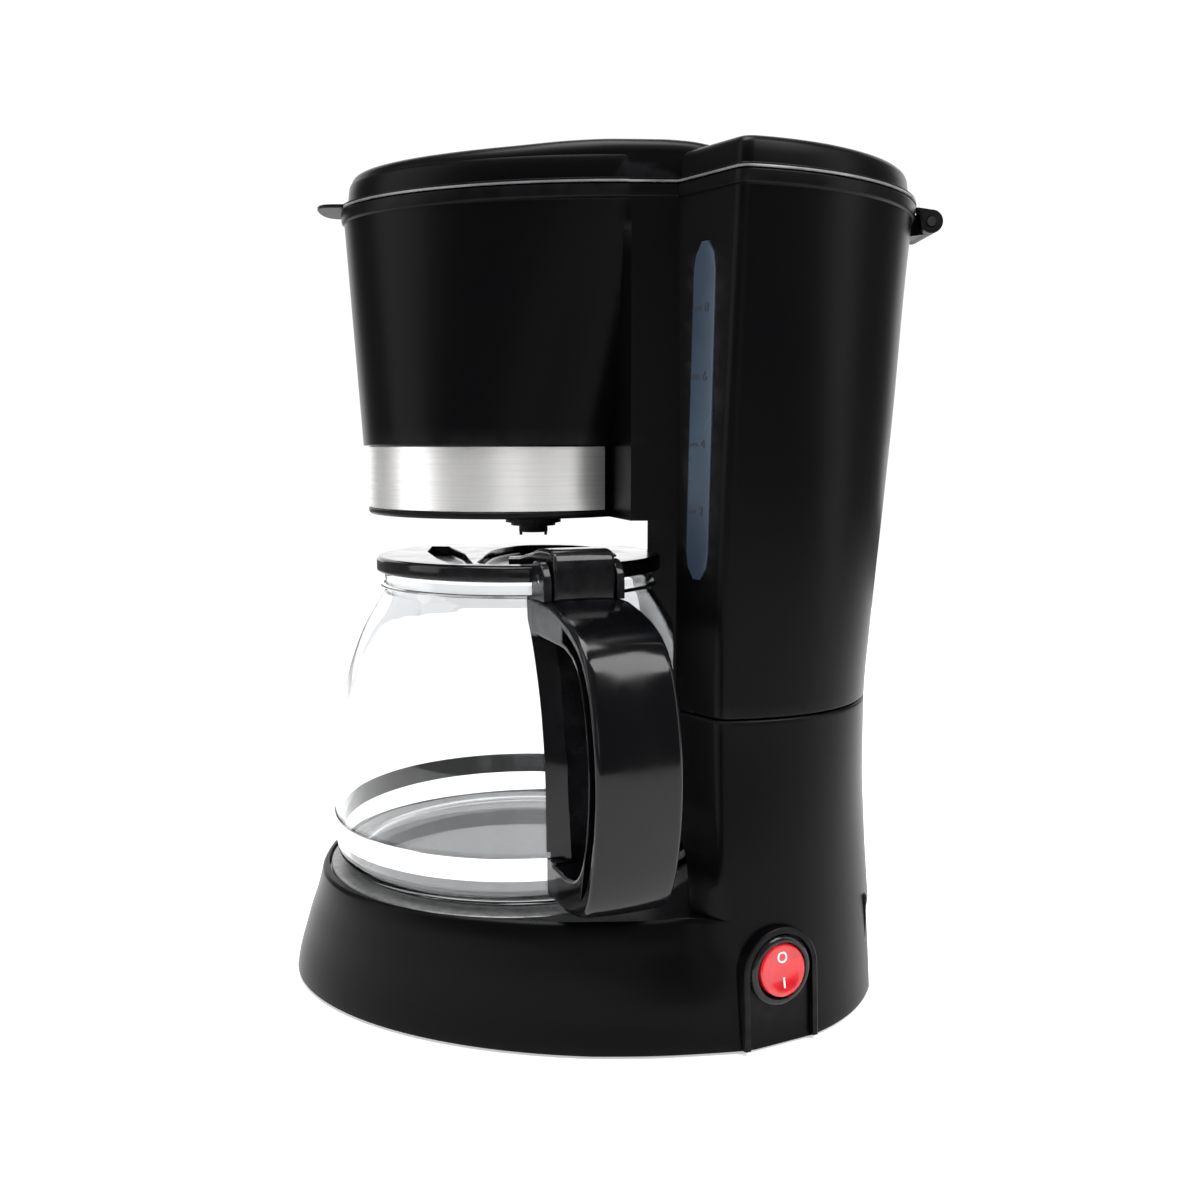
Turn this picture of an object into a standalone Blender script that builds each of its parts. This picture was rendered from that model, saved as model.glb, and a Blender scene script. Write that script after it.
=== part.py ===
"""Drip coffee maker: housing, lid, brewing parts, heater, switch and a glass jug.

The design is drawn in the machine frame, in millimetres: the jug's axis is Z at X = Y = 0, the jug
faces -Y, the water tank is at +Y and the table is Z = 0. One empty moves the whole machine so that
the centre of its bounding box stands on the world origin. MM turns millimetres into metres.
"""
import math

import bmesh
import bpy
from mathutils import Matrix, Vector

MM = 0.001
GAP = 0.3                       # clearance between neighbouring pieces

# Heights
HOUSING_FOOT_Z = 0.7            # lower edge of the lower housing, above the feet's soles
CAVITY_TOP_Z = 37.0             # ceiling of the base
DECK_Z = 44.3                   # top of the base, around the warming plate
SEAM_Z = 113.1                  # joint between the lower and the upper housing
HEAD_Z = 180.0                  # underside of the brewing head
RIM_Z = 292.3                   # upper edge of the upper housing
LID_CROWN_Z = 308.0

# Side wall of tank and column: a superellipse behind BODY_CENTRE_Y, as (z, value) knots
BODY_CENTRE_Y = 55.0
BODY_HALF_WIDTH = [(0, 92), (8, 90.3), (25, 88), (60, 84), (113, 79.5), (180, 82), (240, 85.5), (293, 89)]
BODY_REAR_Y = [(0, 139.6), (15, 138.6), (30, 137.4), (60, 134.8), (90, 133), (113, 132.8), (140, 134.5),
               (180, 138.2), (220, 142), (260, 145), (293, 147.2)]
BODY_ROUNDNESS = [(0, 2.2), (60, 2.4), (113, 2.6), (180, 2.4), (220, 2.2), (293, 2.0)]
RIDGE_Y = [(0, 74), (60, 71), (113, 69.5), (293, 73.5)]
CORNER_X = 61.5
CORNER_Y = 56.0
SIDE_FRONT_Y = 38.0
RECESS_R = 82.5                 # hollow of the column, round the jug

# Base bell, an egg: rear ellipse as above, front ellipse reaching to BELL_FRONT_Y
BELL_CENTRE_Y = 45.0
BELL_HALF_WIDTH = [(0, 92.6), (5, 91.6), (11, 90.3), (17, 89.3), (25, 88), (33, 86.3), (40, 84.6),
                   (44.3, 82.5)]
BELL_FRONT_Y = [(0, -90), (5, -89.2), (11, -87.8), (17, -86), (25, -83.6), (33, -80.8), (40, -78.8),
                (44.3, -77.8)]
BELL_ROUNDNESS = [(0, 2.0), (20, 2.1), (44.3, 2.4)]
# Crease where the bell and the column's hollow meet the side wall
CREASE_X = [(0, 92), (6, 90.8), (11, 89.6), (17, 88), (25, 83), (33, 77.5), (40, 75.5), (48, 74), (60, 68),
            (80, 62), (90, CORNER_X), (113, CORNER_X)]
CREASE_Y = [(0, 50), (11, 50), (17, 52), (25, 56), (33, 58.5), (40, 59.5), (60, 58), (80, CORNER_Y)]
# Hollow of the column round the jug: its radius, flaring towards the deck
RECESS = [(DECK_Z, 96), (48, 94.8), (60, 92), (70, 87), (80, 83.6), (90, RECESS_R)]

# Brewing head: a circle at its underside that opens to an egg at the rim
HEAD_BOTTOM_R = 53.2
HEAD_BOTTOM_Y = -4.5
HEAD_WRAP_DEG = 137.0           # stretch of the lower circle in front of the side wall
HEAD_TOP_HALF_WIDTH = 62.0
HEAD_TOP_LENGTH = 103.3
HEAD_TOP_ROUNDNESS = 1.85
BEAD_Z = 287.5
BEAD_OUT = 1.0
BAND_BOTTOM_Z = 182.6
BAND_TOP_Z = 205.4
GROOVE_DEPTH_BOTTOM = 1.2
GROOVE_DEPTH_TOP = 2.6

WALL = 2.7
TANK_FLOOR_Z = 126.5
TANK_FLOOR_THICK = 3.0
TANK_FRONT_Y = 56.5
BASKET_BAY_REAR_Y = 53.7
SHELF_Z = 107.5
SHELF_THICK = 3.0

# Warming plate and heater
PLATE_R = 75.4
PLATE_POCKET_R = 76.2
PLATE_LEDGE_R = 70.0
HEATER_R = 46.0
HEATER_TUBE_R = 5.2
HEATER_Z = 36.4
STUB_X = 19.4
STUB_Y = 52.0

# Brewing water path: x of the cold and the hot side, y of both
PORT_X = 22.0
PORT_Y = 104.0
HOSE_R = 4.6
HOSE_BORE_R = 2.9
RISER_R = 4.6
ARM_Z = 294.2
OUTLET_Y = 5.5                  # drip outlet, off the jug's axis

# Jug
JUG_R = 73.0
JUG_FOOT_Z = 44.6
JUG_MOUTH_Z = 157.5
GLASS_THICK = 2.2
JUG_LID_R = 55.3
JUG_LID_TOP_Z = 163.8
HANDLE_DEG = 20.0               # direction of the handle from +X towards +Y
HANDLE_WIDTH = 30.0
HANDLE_RAD = math.radians(HANDLE_DEG)
HANDLE_REACH = 119.4
STUD_Z = 58.2
JUG_HINGE_R = 64.0
JUG_HINGE_Z = 160.5

# Lid hinge
HINGE_Y = 155.5
HINGE_Z = 289.0
HINGE_BARREL_R = 4.3
HINGE_PIN_R = 1.8
KNUCKLE_HALF = 8.8              # middle knuckle, on the housing
KNUCKLE_END = 13.8              # outer ends of the lid's two knuckles
# Height of the lid's crown above its foot along the machine, as (y, share) knots
CROWN_LIFT = [(-65, 0.92), (-30, 1.0), (10, 1.09), (32, 1.1), (50, 0.9), (62, 0.6)]

# Switch, set in the side wall
SWITCH = (82.2, 90.0, 27.0)
SWITCH_DEG = 25.0               # its outward normal, from +X towards +Y
SWITCH_LEAN_DEG = 3.0           # lean of its panel, outward at the foot
SWITCH_REST_DEG = -7.0
ROCKER_PIVOT = -2.0             # depth of the rocker's axis behind the panel

# Cord inlet, in a notch of the rear wall
INLET_X = 27.0
INLET_Y = 127.6
INLET_Z = 24.0

# Centre of the machine's bounding box, which stands on the world origin
BOX_X = 12.16
BOX_Y = 34.95

COLOURS = {
    "black_shell": ((0.012, 0.012, 0.014), 0.34, 0.0),
    "black_gloss": ((0.008, 0.008, 0.009), 0.12, 0.0),
    "black_inner": ((0.02, 0.02, 0.022), 0.5, 0.0),
    "brushed_steel": ((0.62, 0.61, 0.59), 0.3, 1.0),
    "bright_steel": ((0.7, 0.7, 0.7), 0.15, 1.0),
    "plate_grey": ((0.33, 0.33, 0.33), 0.35, 0.7),
    "aluminium": ((0.6, 0.6, 0.61), 0.4, 1.0),
    "clear_glass": ((0.93, 0.95, 0.95), 0.02, 0.0),
    "gauge_clear": ((0.3, 0.42, 0.55), 0.2, 0.0),
    "red_lens": ((0.65, 0.01, 0.02), 0.2, 0.0),
    "silicone": ((0.75, 0.74, 0.7), 0.45, 0.0),
    "dark_rubber": ((0.03, 0.03, 0.03), 0.7, 0.0),
}


def clear_scene():
    for obj in list(bpy.data.objects):
        bpy.data.objects.remove(obj, do_unlink=True)


def make_material(name):
    colour, roughness, metallic = COLOURS[name]
    material = bpy.data.materials.new(name)
    material.use_nodes = True
    shader = material.node_tree.nodes["Principled BSDF"]
    shader.inputs["Base Color"].default_value = (*colour, 1.0)
    shader.inputs["Roughness"].default_value = roughness
    shader.inputs["Metallic"].default_value = metallic
    if name == "clear_glass":
        shader.inputs["Transmission Weight"].default_value = 1.0
    return material


def make_empty(name, location, parent=None):
    empty = bpy.data.objects.new(name, None)
    empty.location = Vector(location) * MM
    empty.parent = parent
    bpy.context.collection.objects.link(empty)
    return empty


def make_object(name, bm, material=None, pivot=(0, 0, 0)):
    """One solid from a bmesh in the machine frame, with its origin at pivot."""
    bmesh.ops.remove_doubles(bm, verts=bm.verts, dist=1e-5)
    bmesh.ops.recalc_face_normals(bm, faces=bm.faces)
    bmesh.ops.triangulate(bm, faces=[face for face in bm.faces if len(face.verts) == 4])
    bmesh.ops.translate(bm, verts=bm.verts, vec=-Vector(pivot))
    bmesh.ops.scale(bm, verts=bm.verts, vec=(MM, MM, MM))
    mesh = bpy.data.meshes.new(name)
    bm.to_mesh(mesh)
    bm.free()
    obj = bpy.data.objects.new(name, mesh)
    obj.location = Vector(pivot) * MM
    obj.parent = MACHINE
    bpy.context.collection.objects.link(obj)
    if material:
        mesh.materials.append(MATERIALS[material])
        mesh.shade_smooth()
        mesh.set_sharp_from_angle(angle=math.radians(32))
    return obj


def boolean(target, other, operation):
    """Add a Boolean with a helper solid, which is a guide and not a piece, then weld its slivers."""
    weld = target.modifiers.get("weld")
    if weld:
        target.modifiers.remove(weld)
    modifier = target.modifiers.new(other.name, "BOOLEAN")
    modifier.operation = operation
    modifier.object = other
    weld = target.modifiers.new("weld", "WELD")
    weld.merge_threshold = 0.00002
    other.hide_render = True
    other.display_type = "WIRE"


def cut(target, bm, name="cutter"):
    cutter = make_object(name, bm)
    boolean(target, cutter, "DIFFERENCE")
    return cutter


def fuse(target, bm, name="adder"):
    adder = make_object(name, bm)
    boolean(target, adder, "UNION")
    return adder


# ---------------------------------------------------------------- outlines

def at_height(z, knots):
    """Value at height z on the line through (z, value) knots."""
    if z <= knots[0][0]:
        return knots[0][1]
    for (z0, v0), (z1, v1) in zip(knots, knots[1:]):
        if z <= z1:
            return v0 + (v1 - v0) * (z - z0) / (z1 - z0)
    return knots[-1][1]


def superellipse(a, b, n, centre_y, start_deg, end_deg, steps):
    points = []
    for i in range(steps + 1):
        t = math.radians(start_deg + (end_deg - start_deg) * i / steps)
        c = max(math.cos(t), 0.0)
        s = math.sin(t)
        points.append((a * c ** (2 / n), centre_y + b * math.copysign(abs(s) ** (2 / n), s)))
    return points


def soft_corner(before, corner, after, cutback, steps=2):
    """Points of a curve that rounds a corner, starting and ending cutback from it."""
    corner = Vector(corner)
    start = corner + (Vector(before) - corner).normalized() * cutback
    end = corner + (Vector(after) - corner).normalized() * cutback
    points = []
    for i in range(steps + 1):
        t = i / steps
        points.append(tuple(start * (1 - t) ** 2 + corner * 2 * t * (1 - t) + end * t * t))
    return points


def mirrored(half):
    """Closed outline from the half at +X that runs from the front middle to the rear middle."""
    other = [(-x, y) for x, y in reversed(half) if x > 1e-6]
    return half + other


def side_wall(z, out, corner):
    """Outline of the side and rear wall at height z, from its front corner to the rear middle."""
    a = at_height(z, BODY_HALF_WIDTH) + out
    b = at_height(z, BODY_REAR_Y) - BODY_CENTRE_Y + out
    n = at_height(z, BODY_ROUNDNESS)
    lift = (at_height(z, RIDGE_Y) - BODY_CENTRE_Y - out * 0.3) / b
    start = math.degrees(math.asin(lift ** (n / 2)))
    arc = superellipse(a, b, n, BODY_CENTRE_Y, start, 90, 9)
    ridge = soft_corner(corner, arc[0], arc[1], 4.0)
    return [corner] + ridge + arc[2:]


def upper_corner(out=0.0):
    return (CORNER_X + out, CORNER_Y - out * 0.4)


def body_half(z, out=0.0, front=SIDE_FRONT_Y):
    """Half outline of the column and tank at height z, grown outward by out."""
    return [(0.0, front), (CORNER_X + out, front)] + side_wall(z, out, upper_corner(out))


def head_arc(z, out=0.0):
    """Front of the brewing head at height z, from its nose to the side wall."""
    t = max(0.0, (z - HEAD_Z) / (RIM_Z - HEAD_Z))
    steps = 10
    top = superellipse(HEAD_TOP_HALF_WIDTH + out, HEAD_TOP_LENGTH + out, HEAD_TOP_ROUNDNESS,
                       SIDE_FRONT_Y, -90, 0, steps)
    points = []
    for i, (x, y) in enumerate(top):
        angle = math.radians(-90 + HEAD_WRAP_DEG * i / steps)
        low_x = (HEAD_BOTTOM_R + out) * math.cos(angle)
        low_y = HEAD_BOTTOM_Y + (HEAD_BOTTOM_R + out) * math.sin(angle)
        points.append((low_x + (x - low_x) * t, low_y + (y - low_y) * t))
    points[0] = (0.0, points[0][1])
    return points


def head_half(z, out=0.0, rear=50.0):
    """Half outline of the brewing head alone, closed by a flat rear side."""
    points = head_arc(z, out)
    return points + [(points[-1][0], rear), (0.0, rear)]


def full_half(z, out=0.0, front_out=None):
    """Half outline of head and tank together at height z."""
    if front_out is None:
        front_out = out
    side = (CORNER_X + out, SIDE_FRONT_Y + 2.0)
    return head_arc(z, front_out) + [side] + side_wall(z, out, upper_corner(out))


def base_half(z, out=0.0, shrink=1.0, lip=0.0):
    """Half outline of the lower housing at height z. Above the deck its front is shrunk, to be cut off."""
    a = at_height(z, BELL_HALF_WIDTH) + out - lip
    reach = BELL_CENTRE_Y - at_height(z, BELL_FRONT_Y) + out - lip
    n = at_height(z, BELL_ROUNDNESS)
    front = superellipse(a, reach, n, BELL_CENTRE_Y, -90, 0, 11)
    front = [(x * shrink, y * shrink) for x, y in front]
    end_x, end_y = front[-1]
    corner = (at_height(z, CREASE_X) + out, at_height(z, CREASE_Y) - out * 0.4)
    turn = []
    for i in (1, 2):
        u = math.radians(30 * i)
        turn.append((end_x - (end_x - corner[0]) * (1 - math.cos(u)), end_y + (corner[1] - end_y) * math.sin(u)))
    return front + turn + side_wall(z, out, corner)


# ---------------------------------------------------------------- solids

def loft(rings):
    """Closed solid through rings of 3D points, all with the same count."""
    bm = bmesh.new()
    loops = [[bm.verts.new(point) for point in ring] for ring in rings]
    count = len(loops[0])
    for low, high in zip(loops, loops[1:]):
        for i in range(count):
            j = (i + 1) % count
            bm.faces.new((low[i], low[j], high[j], high[i]))
    bm.faces.new(list(reversed(loops[0])))
    bm.faces.new(loops[-1])
    return bm


def stacked(sections):
    """Loft through (z, outline) sections, bottom to top."""
    return loft([[(x, y, z) for x, y in outline] for z, outline in sections])


def turned(profile, steps=24, centre=(0.0, 0.0)):
    """Solid of revolution about a vertical axis. The profile is closed, or its ends are on the axis."""
    bm = bmesh.new()
    rings = []
    for r, z in profile:
        if r < 1e-6:
            rings.append([bm.verts.new((centre[0], centre[1], z))] * steps)
            continue
        ring = []
        for i in range(steps):
            angle = math.tau * i / steps
            ring.append(bm.verts.new((centre[0] + r * math.cos(angle), centre[1] + r * math.sin(angle), z)))
        rings.append(ring)
    closed = profile[0][0] > 1e-6
    pairs = list(zip(rings, rings[1:]))
    if closed:
        pairs.append((rings[-1], rings[0]))
    for low, high in pairs:
        for i in range(steps):
            j = (i + 1) % steps
            corners = []
            for vert in (low[i], low[j], high[j], high[i]):
                if vert not in corners:
                    corners.append(vert)
            if len(corners) > 2:
                bm.faces.new(corners)
    return bm


def screw_post(r, low_z, high_z, pilot_z, centre):
    """Round post with a blind pilot hole that opens at low_z."""
    profile = [(1.6, low_z), (r, low_z), (r, high_z), (0, high_z), (0, pilot_z), (1.6, pilot_z)]
    return turned(profile, 12, centre)


def cylinder(r, low_z, high_z, steps=24, centre=(0.0, 0.0)):
    return turned([(0, low_z), (r, low_z), (r, high_z), (0, high_z)], steps, centre)


def box(low, high):
    bm = bmesh.new()
    bmesh.ops.create_cube(bm, size=1.0)
    size = Vector(high) - Vector(low)
    bmesh.ops.scale(bm, verts=bm.verts, vec=size)
    bmesh.ops.translate(bm, verts=bm.verts, vec=(Vector(low) + Vector(high)) / 2)
    return bm


def smooth_path(points, steps=4):
    """Catmull-Rom curve through points."""
    nodes = [Vector(p) for p in points]
    nodes = [nodes[0] * 2 - nodes[1]] + nodes + [nodes[-1] * 2 - nodes[-2]]
    path = []
    for p0, p1, p2, p3 in zip(nodes, nodes[1:], nodes[2:], nodes[3:]):
        for i in range(steps):
            t = i / steps
            path.append(0.5 * (2 * p1 + (p2 - p0) * t + (2 * p0 - 5 * p1 + 4 * p2 - p3) * t ** 2
                               + (3 * p1 - p0 - 3 * p2 + p3) * t ** 3))
    path.append(nodes[-2])
    return path


def path_frames(path):
    """Two unit vectors across the path at each point, without twist."""
    frames = []
    side = Vector((0, 0, 1)).cross(path[1] - path[0])
    if side.length < 1e-6:
        side = Vector((1, 0, 0))
    for i, point in enumerate(path):
        ahead = path[min(i + 1, len(path) - 1)] - path[max(i - 1, 0)]
        ahead.normalize()
        side = (side - ahead * side.dot(ahead)).normalized()
        frames.append((side.copy(), ahead.cross(side)))
    return frames


def tube(path, r, bore=0.0, steps=8):
    """Round bar along a path, or a pipe when bore is given."""
    bm = bmesh.new()
    frames = path_frames(path)

    def wall(radius):
        loops = []
        for point, (u, v) in zip(path, frames):
            loop = []
            for i in range(steps):
                angle = math.tau * i / steps
                loop.append(bm.verts.new(point + u * radius * math.cos(angle) + v * radius * math.sin(angle)))
            loops.append(loop)
        for low, high in zip(loops, loops[1:]):
            for i in range(steps):
                j = (i + 1) % steps
                bm.faces.new((low[i], low[j], high[j], high[i]))
        return loops

    outer = wall(r)
    if bore:
        inner = wall(bore)
        for end in (0, -1):
            for i in range(steps):
                j = (i + 1) % steps
                bm.faces.new((outer[end][i], outer[end][j], inner[end][j], inner[end][i]))
    else:
        bm.faces.new(outer[0])
        bm.faces.new(outer[-1])
    return bm


def placed(bm, matrix):
    bmesh.ops.transform(bm, matrix=matrix, verts=bm.verts)
    return bm


def along_x(bm, y, z, x=0.0):
    """Turn a solid made about Z so that its axis runs along X through (y, z)."""
    return placed(bm, Matrix.Translation((x, y, z)) @ Matrix.Rotation(math.pi / 2, 4, "Y"))


# ---------------------------------------------------------------- housings

def body_sections(heights, out=0.0, front=SIDE_FRONT_Y):
    return [(z, mirrored(body_half(z, out, front))) for z in heights]


def head_sections(levels):
    return [(z, mirrored(head_half(z, out, rear))) for z, out, rear in levels]


def column_guard(grow, low_z):
    """Solid filling the jug's hollow, grown by the wall, from low_z up to the brewing head."""
    profile = [(0, low_z), (RECESS[0][1] + grow, low_z)]
    profile += [(r + grow, z) for z, r in RECESS if z > low_z]
    top = HEAD_Z + grow * 1.2
    profile += [(RECESS_R + grow, top), (0, top)]
    return turned(profile, 40)


def build_upper_housing():
    low_groove = BAND_BOTTOM_Z - 0.2
    high_groove = BAND_TOP_Z + 0.2
    levels = [(SEAM_Z + 0.6, 0, 0), (140, 0, 0), (HEAD_Z, 0, -0.8), (HEAD_Z + 0.8, 0, 0), (low_groove, 0, 0),
              (low_groove, 0, -GROOVE_DEPTH_BOTTOM), (high_groove, 0, -GROOVE_DEPTH_TOP), (high_groove, 0, 0),
              (220, 0, 0), (255, 0, 0), (BEAD_Z, 0, 0), (BEAD_Z + 0.8, BEAD_OUT, BEAD_OUT),
              (RIM_Z, BEAD_OUT, BEAD_OUT)]
    sections = [(z, mirrored(full_half(z, out, front_out))) for z, out, front_out in levels]
    housing = make_object("upper_housing", stacked(sections), "black_shell")
    cut(housing, cylinder(RECESS_R, 80, HEAD_Z, 40), "column_recess")

    tank = make_object("tank_space", stacked(body_sections(
        (TANK_FLOOR_Z, 150, 180, 220, 255, 300), -WALL, TANK_FRONT_Y)))
    boolean(tank, make_object("tank_front", column_guard(WALL, 60)), "DIFFERENCE")
    boolean(housing, tank, "DIFFERENCE")

    ledge_z = 282.7
    rear = BASKET_BAY_REAR_Y
    bay = [(HEAD_Z + 2.7, -5, rear - 0.6), (ledge_z, -5, rear - 0.6), (ledge_z, -2.6, rear), (300, -2.6, rear)]
    cut(housing, stacked(head_sections(bay)), "basket_bay")
    cut(housing, box((-8, 50, 285.5), (PORT_X + 6, 60, 300)), "arm_notch")
    cut(housing, cylinder(11.4, 170, 190, 28, (0, OUTLET_Y)), "outlet_hole")

    low = TANK_FLOOR_Z - TANK_FLOOR_THICK
    skirt = make_object("hose_space", stacked(body_sections((100, low), -WALL, TANK_FRONT_Y)))
    boolean(skirt, make_object("hose_space_front", column_guard(WALL, 60)), "DIFFERENCE")
    boolean(housing, skirt, "DIFFERENCE")
    for side in (-1, 1):
        cut(housing, cylinder(RISER_R + GAP, 110, 140, 16, (side * PORT_X, PORT_Y)), "port")
        fuse(housing, screw_post(4.2, SEAM_Z + 1.2, low + 1, low - 1.5, (side * 45, 100)), "post")

    cut(housing, gauge_solid(GAP, -6.0, 4.0), "gauge_slot")
    fuse(housing, hinge_ear(-KNUCKLE_HALF, KNUCKLE_HALF), "hinge_ear")
    cut(housing, along_x(cylinder(HINGE_PIN_R + GAP, -40, 40, 16), HINGE_Y, HINGE_Z), "pin_hole")
    return housing


def hinge_ear(low_x, high_x):
    """Middle knuckle on the rear wall, which carries the hinge pin."""
    barrel = []
    for i in range(11):
        angle = math.radians(-110 + 230 * i / 10)
        barrel.append((HINGE_Y + HINGE_BARREL_R * math.cos(angle), HINGE_Z + HINGE_BARREL_R * math.sin(angle)))
    wall_y = HINGE_Y - 12.5
    top = RIM_Z - 0.4
    outline = [(wall_y, HINGE_Z - 9)] + barrel + [(HINGE_Y - 5.5, top), (wall_y, top)]
    return loft([[(x, y, z) for y, z in outline] for x in (low_x, high_x)])


def gauge_solid(grow, inner, outer):
    """Upright strip set in the flank between corner and ridge, with pointed ends."""
    low_z, high_z = 160.6 - grow, 272.0 + grow
    half = 5.4 + grow
    heights = [low_z, low_z + 4, low_z + 9, (low_z + high_z) / 2, high_z - 9, high_z - 4, high_z]
    widths = [0.25, 0.75, 1, 1, 1, 0.75, 0.25]
    rings = []
    for z, width in zip(heights, widths):
        ridge = Vector(body_half(z)[3])
        corner = Vector((CORNER_X, CORNER_Y))
        run = (ridge - corner).normalized()
        facing = Vector((run.y, -run.x))
        middle = corner.lerp(ridge, 0.52)
        corners = []
        for u, depth in ((-half, inner), (half, inner), (half, outer), (-half, outer)):
            p = middle + run * u * width + facing * depth
            corners.append((p.x, p.y, z))
        rings.append(corners)
    return loft(rings)


def build_trim_band():
    rings = []
    for z, depth in ((BAND_BOTTOM_Z, GROOVE_DEPTH_BOTTOM), (BAND_TOP_Z, GROOVE_DEPTH_TOP)):
        outer = head_half(z, -depth + 0.9)[:-2]
        inner = head_half(z, -depth + GAP)[:-2]
        outer = [p for p in outer if p[1] < 33.5]
        inner = inner[:len(outer)]
        outer = [(-x, y) for x, y in reversed(outer)][:-1] + outer
        inner = [(-x, y) for x, y in reversed(inner)][:-1] + inner
        rings.append([(x, y, z) for x, y in outer + inner[::-1]])
    return make_object("trim_band", loft(rings), "brushed_steel")


def build_water_gauge():
    return make_object("water_gauge", gauge_solid(0.0, -WALL, 0.7), "gauge_clear")


def build_lower_housing():
    top = DECK_Z + 0.3
    sections = [(z, mirrored(base_half(z))) for z in (HOUSING_FOOT_Z, 6, 11, 17, 25, 33, 40, DECK_Z - 1.0)]
    sections.append((top, mirrored(base_half(top, lip=1.5))))
    sections += [(z, mirrored(base_half(z, 0, 0.7))) for z in (top, 60, 80, 95, SEAM_Z)]
    housing = make_object("lower_housing", stacked(sections), "black_shell")
    cut(housing, column_guard(0.0, DECK_Z), "column_recess_low")

    ceiling = CAVITY_TOP_Z + 1
    inside = [(z, mirrored(base_half(z, -WALL))) for z in (-5, 11, 17, 25, 33, ceiling)]
    inside += [(z, mirrored(base_half(z, -WALL, 0.7))) for z in (ceiling, 60, 80, 95, SHELF_Z)]
    space = make_object("base_space", stacked(inside))
    boolean(space, make_object("base_front", column_guard(WALL, CAVITY_TOP_Z)), "DIFFERENCE")
    boolean(housing, space, "DIFFERENCE")
    collar = make_object("collar_space", stacked([
        (z, mirrored(base_half(z, -WALL, 0.7))) for z in (SHELF_Z + SHELF_THICK, 130)]))
    boolean(collar, make_object("collar_front", column_guard(WALL, CAVITY_TOP_Z)), "DIFFERENCE")
    boolean(housing, collar, "DIFFERENCE")

    cut(housing, cylinder(PLATE_POCKET_R, 40.3, 60, 40), "plate_pocket")
    cut(housing, cylinder(PLATE_LEDGE_R, 30, 60, 40), "plate_hole")
    for side in (-1, 1):
        cut(housing, cylinder(HOSE_R + 1.4, 100, 120, 16, (side * PORT_X, PORT_Y)), "hose_hole")
        cut(housing, cylinder(1.9, 100, 120, 12, (side * 45, 100)), "shelf_hole")
    for x, y, high in screw_places():
        fuse(housing, screw_post(4.0, 5.2, high, 18, (x, y)), "base_post")

    fuse(housing, switch_arch(15.2, -7.0, 2.2), "switch_block")
    cut(housing, switch_arch(12.9, 0.2, 12.0, 40.0), "switch_panel")
    cut(housing, in_switch(cylinder(10.9, -30, 10, 28)), "switch_hole")

    fuse(housing, box((11, INLET_Y - 4.5, HOUSING_FOOT_Z + 1), (45, INLET_Y + 2, CAVITY_TOP_Z + 2)), "inlet_wall")
    cut(housing, box((14, INLET_Y, -5), (41, INLET_Y + 30, 33)), "inlet_notch")
    inlet = cylinder(5.2, -20, 20, 16)
    turn = Matrix.Translation((INLET_X, INLET_Y - 2, INLET_Z)) @ Matrix.Rotation(math.pi / 2, 4, "X")
    cut(housing, placed(inlet, turn), "inlet_hole")
    return housing


def screw_places():
    """Post of each bottom screw: x, y and the height it grows to."""
    return [(-30, -68, 38), (30, -68, 38), (-52, 106, 109), (52, 106, 109)]


def switch_matrix():
    """Frame of the switch: local Z is outward, local X is level, local Y is up."""
    lean = math.radians(SWITCH_LEAN_DEG)
    turn = math.radians(SWITCH_DEG)
    outward = Vector((math.cos(turn) * math.cos(lean), math.sin(turn) * math.cos(lean), math.sin(lean)))
    level = Vector((-math.sin(turn), math.cos(turn), 0.0))
    up = outward.cross(level)
    matrix = Matrix.Identity(4)
    for column, axis in enumerate((level, up, outward)):
        for row in range(3):
            matrix[row][column] = axis[row]
    matrix.translation = Vector(SWITCH)
    return matrix


def in_switch(bm):
    return placed(bm, switch_matrix())


def switch_arch(half, low, high, drop=25.6):
    """Arch-shaped block round the switch, from low to high along its normal."""
    outline = [(-half, -drop)]
    for i in range(13):
        angle = math.pi - math.pi * i / 12
        outline.append((half * math.cos(angle), half * math.sin(angle)))
    outline.append((half, -drop))
    return in_switch(loft([[(x, y, n) for x, y in outline] for n in (low, high)]))


def build_bottom_cover():
    """Floor of the base, with holes for the feet and the screws."""
    sections = [(z, mirrored(base_half(z, -WALL - 1.3))) for z in (2.4, 4.7)]
    cover = make_object("bottom_cover", stacked(sections), "black_inner")
    cut(cover, box((10.4, INLET_Y - 5.2, 0), (45.6, 160, 10)), "inlet_clearance")
    cut(cover, switch_arch(15.8, -7.6, 12, 40), "switch_clearance")
    for x, y in foot_places():
        cut(cover, cylinder(3.3, 0, 10, 12, (x, y)), "foot_hole")
    for x, y, _ in screw_places():
        cut(cover, cylinder(1.9, 0, 10, 12, (x, y)), "cover_screw_hole")
    for i in range(5):
        cut(cover, box((-20, 10 + 9 * i, 0), (20, 13 + 9 * i, 10)), "vent")
    return cover


def foot_places():
    return [(-50, -45), (50, -45), (-62, 85), (62, 85)]


def build_feet():
    for number, (x, y) in enumerate(foot_places(), 1):
        profile = [(0, 0), (7.6, 0), (8.4, 0.7), (8.4, 2.1), (3.0, 2.1), (3.0, 6.5), (0, 6.5)]
        make_object(f"foot_{number}", turned(profile, 16, (x, y)), "dark_rubber")


def screw(name, x, y, head_z, length, up=True):
    """Pan-head screw, its head at head_z and its shank pointing up or down."""
    way = 1 if up else -1
    profile = [(0, -1.7), (2.0, -1.7), (2.9, -0.9), (2.9, 0), (1.3, 0), (1.3, length - 1.2), (0.3, length), (0, length)]
    profile = [(r, head_z + way * z) for r, z in profile]
    item = make_object(name, turned(profile, 10, (x, y)), "bright_steel")
    cut(item, box((x - 1.7, y - 0.35, head_z - way * 2.5), (x + 1.7, y + 0.35, head_z - way * 0.9)), "slot")
    return item


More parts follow.
